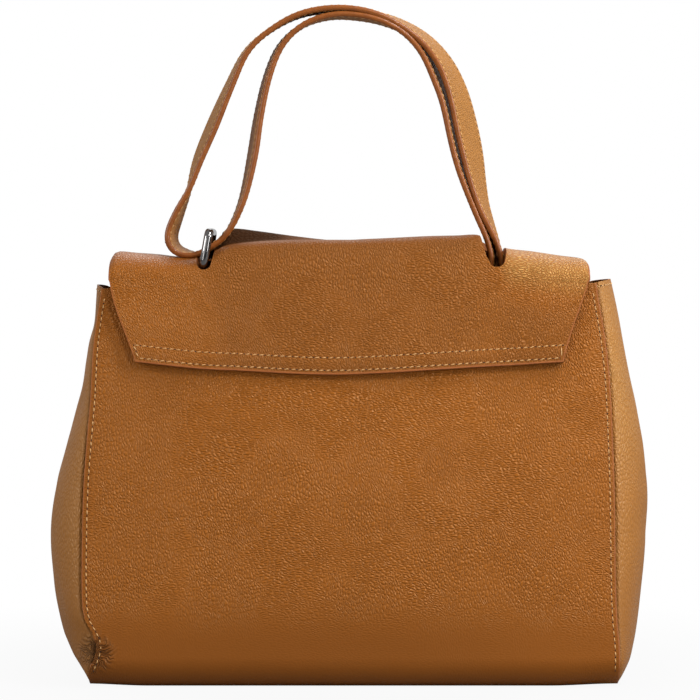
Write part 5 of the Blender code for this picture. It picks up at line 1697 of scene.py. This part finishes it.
for side, label in ((1, "upper"), (-1, "lower")):
    half = ZIP_HALF + TAPE_HIGH / 2
    near_edge = side * (ZIP_GAP / 2 + 0.2 * MM)
    far_edge = side * (ZIP_GAP / 2 + TAPE_HIGH)
    bm = sheet_mesh(spread(-half, half, 80), spread(near_edge, far_edge, 6),
                    lambda x, y: ZIP_FRAME @ Vector((x, y, 0.3 * MM + TAPE_THICK)),
                    ZIP_FRAME.to_3x3() @ Vector((0, 0, 1)))
    tape = add_piece("zip_tape_cloth_" + label, bm, [TAPE_CLOTH] * 3)
    give_thickness(tape, TAPE_THICK, 0.15 * MM)
    body(tape, "bag", "zip_tape_" + label, slot="zip_tape")
    bm = bmesh.new()
    shift = 0.0 if side > 0 else TOOTH_PITCH / 2
    count = int((2 * ZIP_HALF - 2 * SLIDER_LENGTH) / TOOTH_PITCH)
    for i in range(count):
        x = -ZIP_HALF + 1.5 * MM + shift + i * TOOTH_PITCH
        ends = sorted((side * 2.6 * MM, -side * 0.9 * MM))
        rounded_block(bm, (x - STEM_HALF, ends[0], 0.1 * MM),
                      (x + STEM_HALF, ends[1], 1.3 * MM), 0.16 * MM)
        ends = sorted((-side * 0.2 * MM, -side * 1.1 * MM))
        rounded_block(bm, (x - HEAD_HALF, ends[0], 0.2 * MM),
                      (x + HEAD_HALF, ends[1], 1.25 * MM), 0.2 * MM)
    bmesh.ops.transform(bm, matrix=ZIP_FRAME, verts=bm.verts)
    teeth = add_piece("zip_teeth_" + label, bm, [GUNMETAL])
    teeth.data.set_sharp_from_angle(angle=math.radians(40))
    body(teeth, "bag", slot="gunmetal")
    print(teeth.name, count, "teeth")

# %% [markdown]
# The slider and its pull are the CAD pieces themselves, and so are the magnets, their keepers and
# the base board. They are rigid and plain, so a finish and a soft edge are all that they need.

# %% Rigid pieces
for name, material in (("zip_slider", GUNMETAL), ("zip_pull", GUNMETAL), ("keeper_left", STEEL),
                       ("keeper_right", STEEL), ("flap_magnet_left", STEEL),
                       ("flap_magnet_right", STEEL), ("base_board", CARD)):
    piece = frame["nodes"][name]
    piece.data.materials.clear()
    piece.data.materials.append(material)
    soft_edge = piece.modifiers.new("Edges", "BEVEL")
    soft_edge.width = 0.18 * MM
    soft_edge.segments = 2
    soft_edge.limit_method = "ANGLE"
    soft_edge.angle_limit = math.radians(40)
    print(name, "has the finish", material.name)


# %% Pocket pouch behind the lining
pouch_half = ZIP_HALF + TAPE_HIGH / 2
pouch_top = WINDOW_HALF + TAPE_HIGH / 2
near_z = -LINING_CLOTH_THICK - 0.3 * MM


def pouch_wall(name, level, outward, with_window):
    """One cloth wall of the pouch, in the zip's frame."""
    def place(x, y):
        edge = ramp(0, 6 * MM, min(pouch_half - abs(x), pouch_top - y, y + 80 * MM))
        middle = near_z - 1.2 * MM
        return ZIP_FRAME @ Vector((x, y, middle + (level - middle) * edge))
    bm = sheet_mesh(spread(-pouch_half, pouch_half, 70), spread(-80 * MM, pouch_top, 34), place,
                    ZIP_FRAME.to_3x3() @ Vector((0, 0, outward)))
    if with_window:
        faces = list(bm.faces)
        print(name, "cut out", cut_out(bm, faces, window), "faces")
    return bm


for name, level, outward, opened in (("pouch_near", near_z, 1, True),
                                     ("pouch_far", near_z - 2.4 * MM, -1, False)):
    bm = pouch_wall(name, level, outward, opened)
    wall = add_piece(name, bm, [LINING_CLOTH] * 3)
    give_thickness(wall, 0.35 * MM)
    if opened:
        body(wall, "bag", "zip_pocket_bag", slot="lining_cloth")
    else:
        body(wall, "bag", slot="lining_cloth")


# %% Thread round the zip window
def window_line(reach):
    half_x, half_y = ZIP_HALF + reach, WINDOW_HALF + reach
    corners = [(-half_x, -half_y), (half_x, -half_y), (half_x, half_y), (-half_x, half_y),
               (-half_x, -half_y)]
    out = []
    normal = ZIP_FRAME.to_3x3() @ Vector((0, 0, 1))
    for (x0, y0), (x1, y1) in zip(corners, corners[1:]):
        for t in spread(0, 1, 30)[:-1]:
            out.append((ZIP_FRAME @ Vector((x0 + (x1 - x0) * t, y0 + (y1 - y0) * t, 1.1 * MM)),
                        normal))
    return out + out[:1]


body(thread_row("zip_thread", [window_line(2.2 * MM)], pitch=2.8 * MM, radius=0.3 * MM, seed=13),
     "bag")

# %% [markdown]
# ## The low end of the mouth
# The left end of the mouth hangs a little lower than the right one. The body's tables could hold
# this, but then the lining and the facings would need it as well. Here one function moves every
# piece that meets at that end, so their seams stay together.

# %% Lower the left end
MOUTH_SAG = 3.4 * MM


def sag(item):
    """Let the left end of the mouth hang a little lower than the rest."""
    for vert in item.data.vertices:
        share = (1 - ramp(-147 * MM, -126 * MM, vert.co.x)) * ramp(188 * MM, 234 * MM, vert.co.z)
        vert.co.z -= MOUTH_SAG * share
    item.data.update()


for name in ("body_leather", "body_thread", "gusset_leather_left", "gusset_thread_left",
             "lining_bag", "facing_leather_front", "facing_leather_back",
             "facing_thread_front", "facing_thread_back"):
    sag(bpy.data.objects[name])
print("the mouth hangs", round(MOUTH_SAG / MM, 1), "mm lower at its left end")
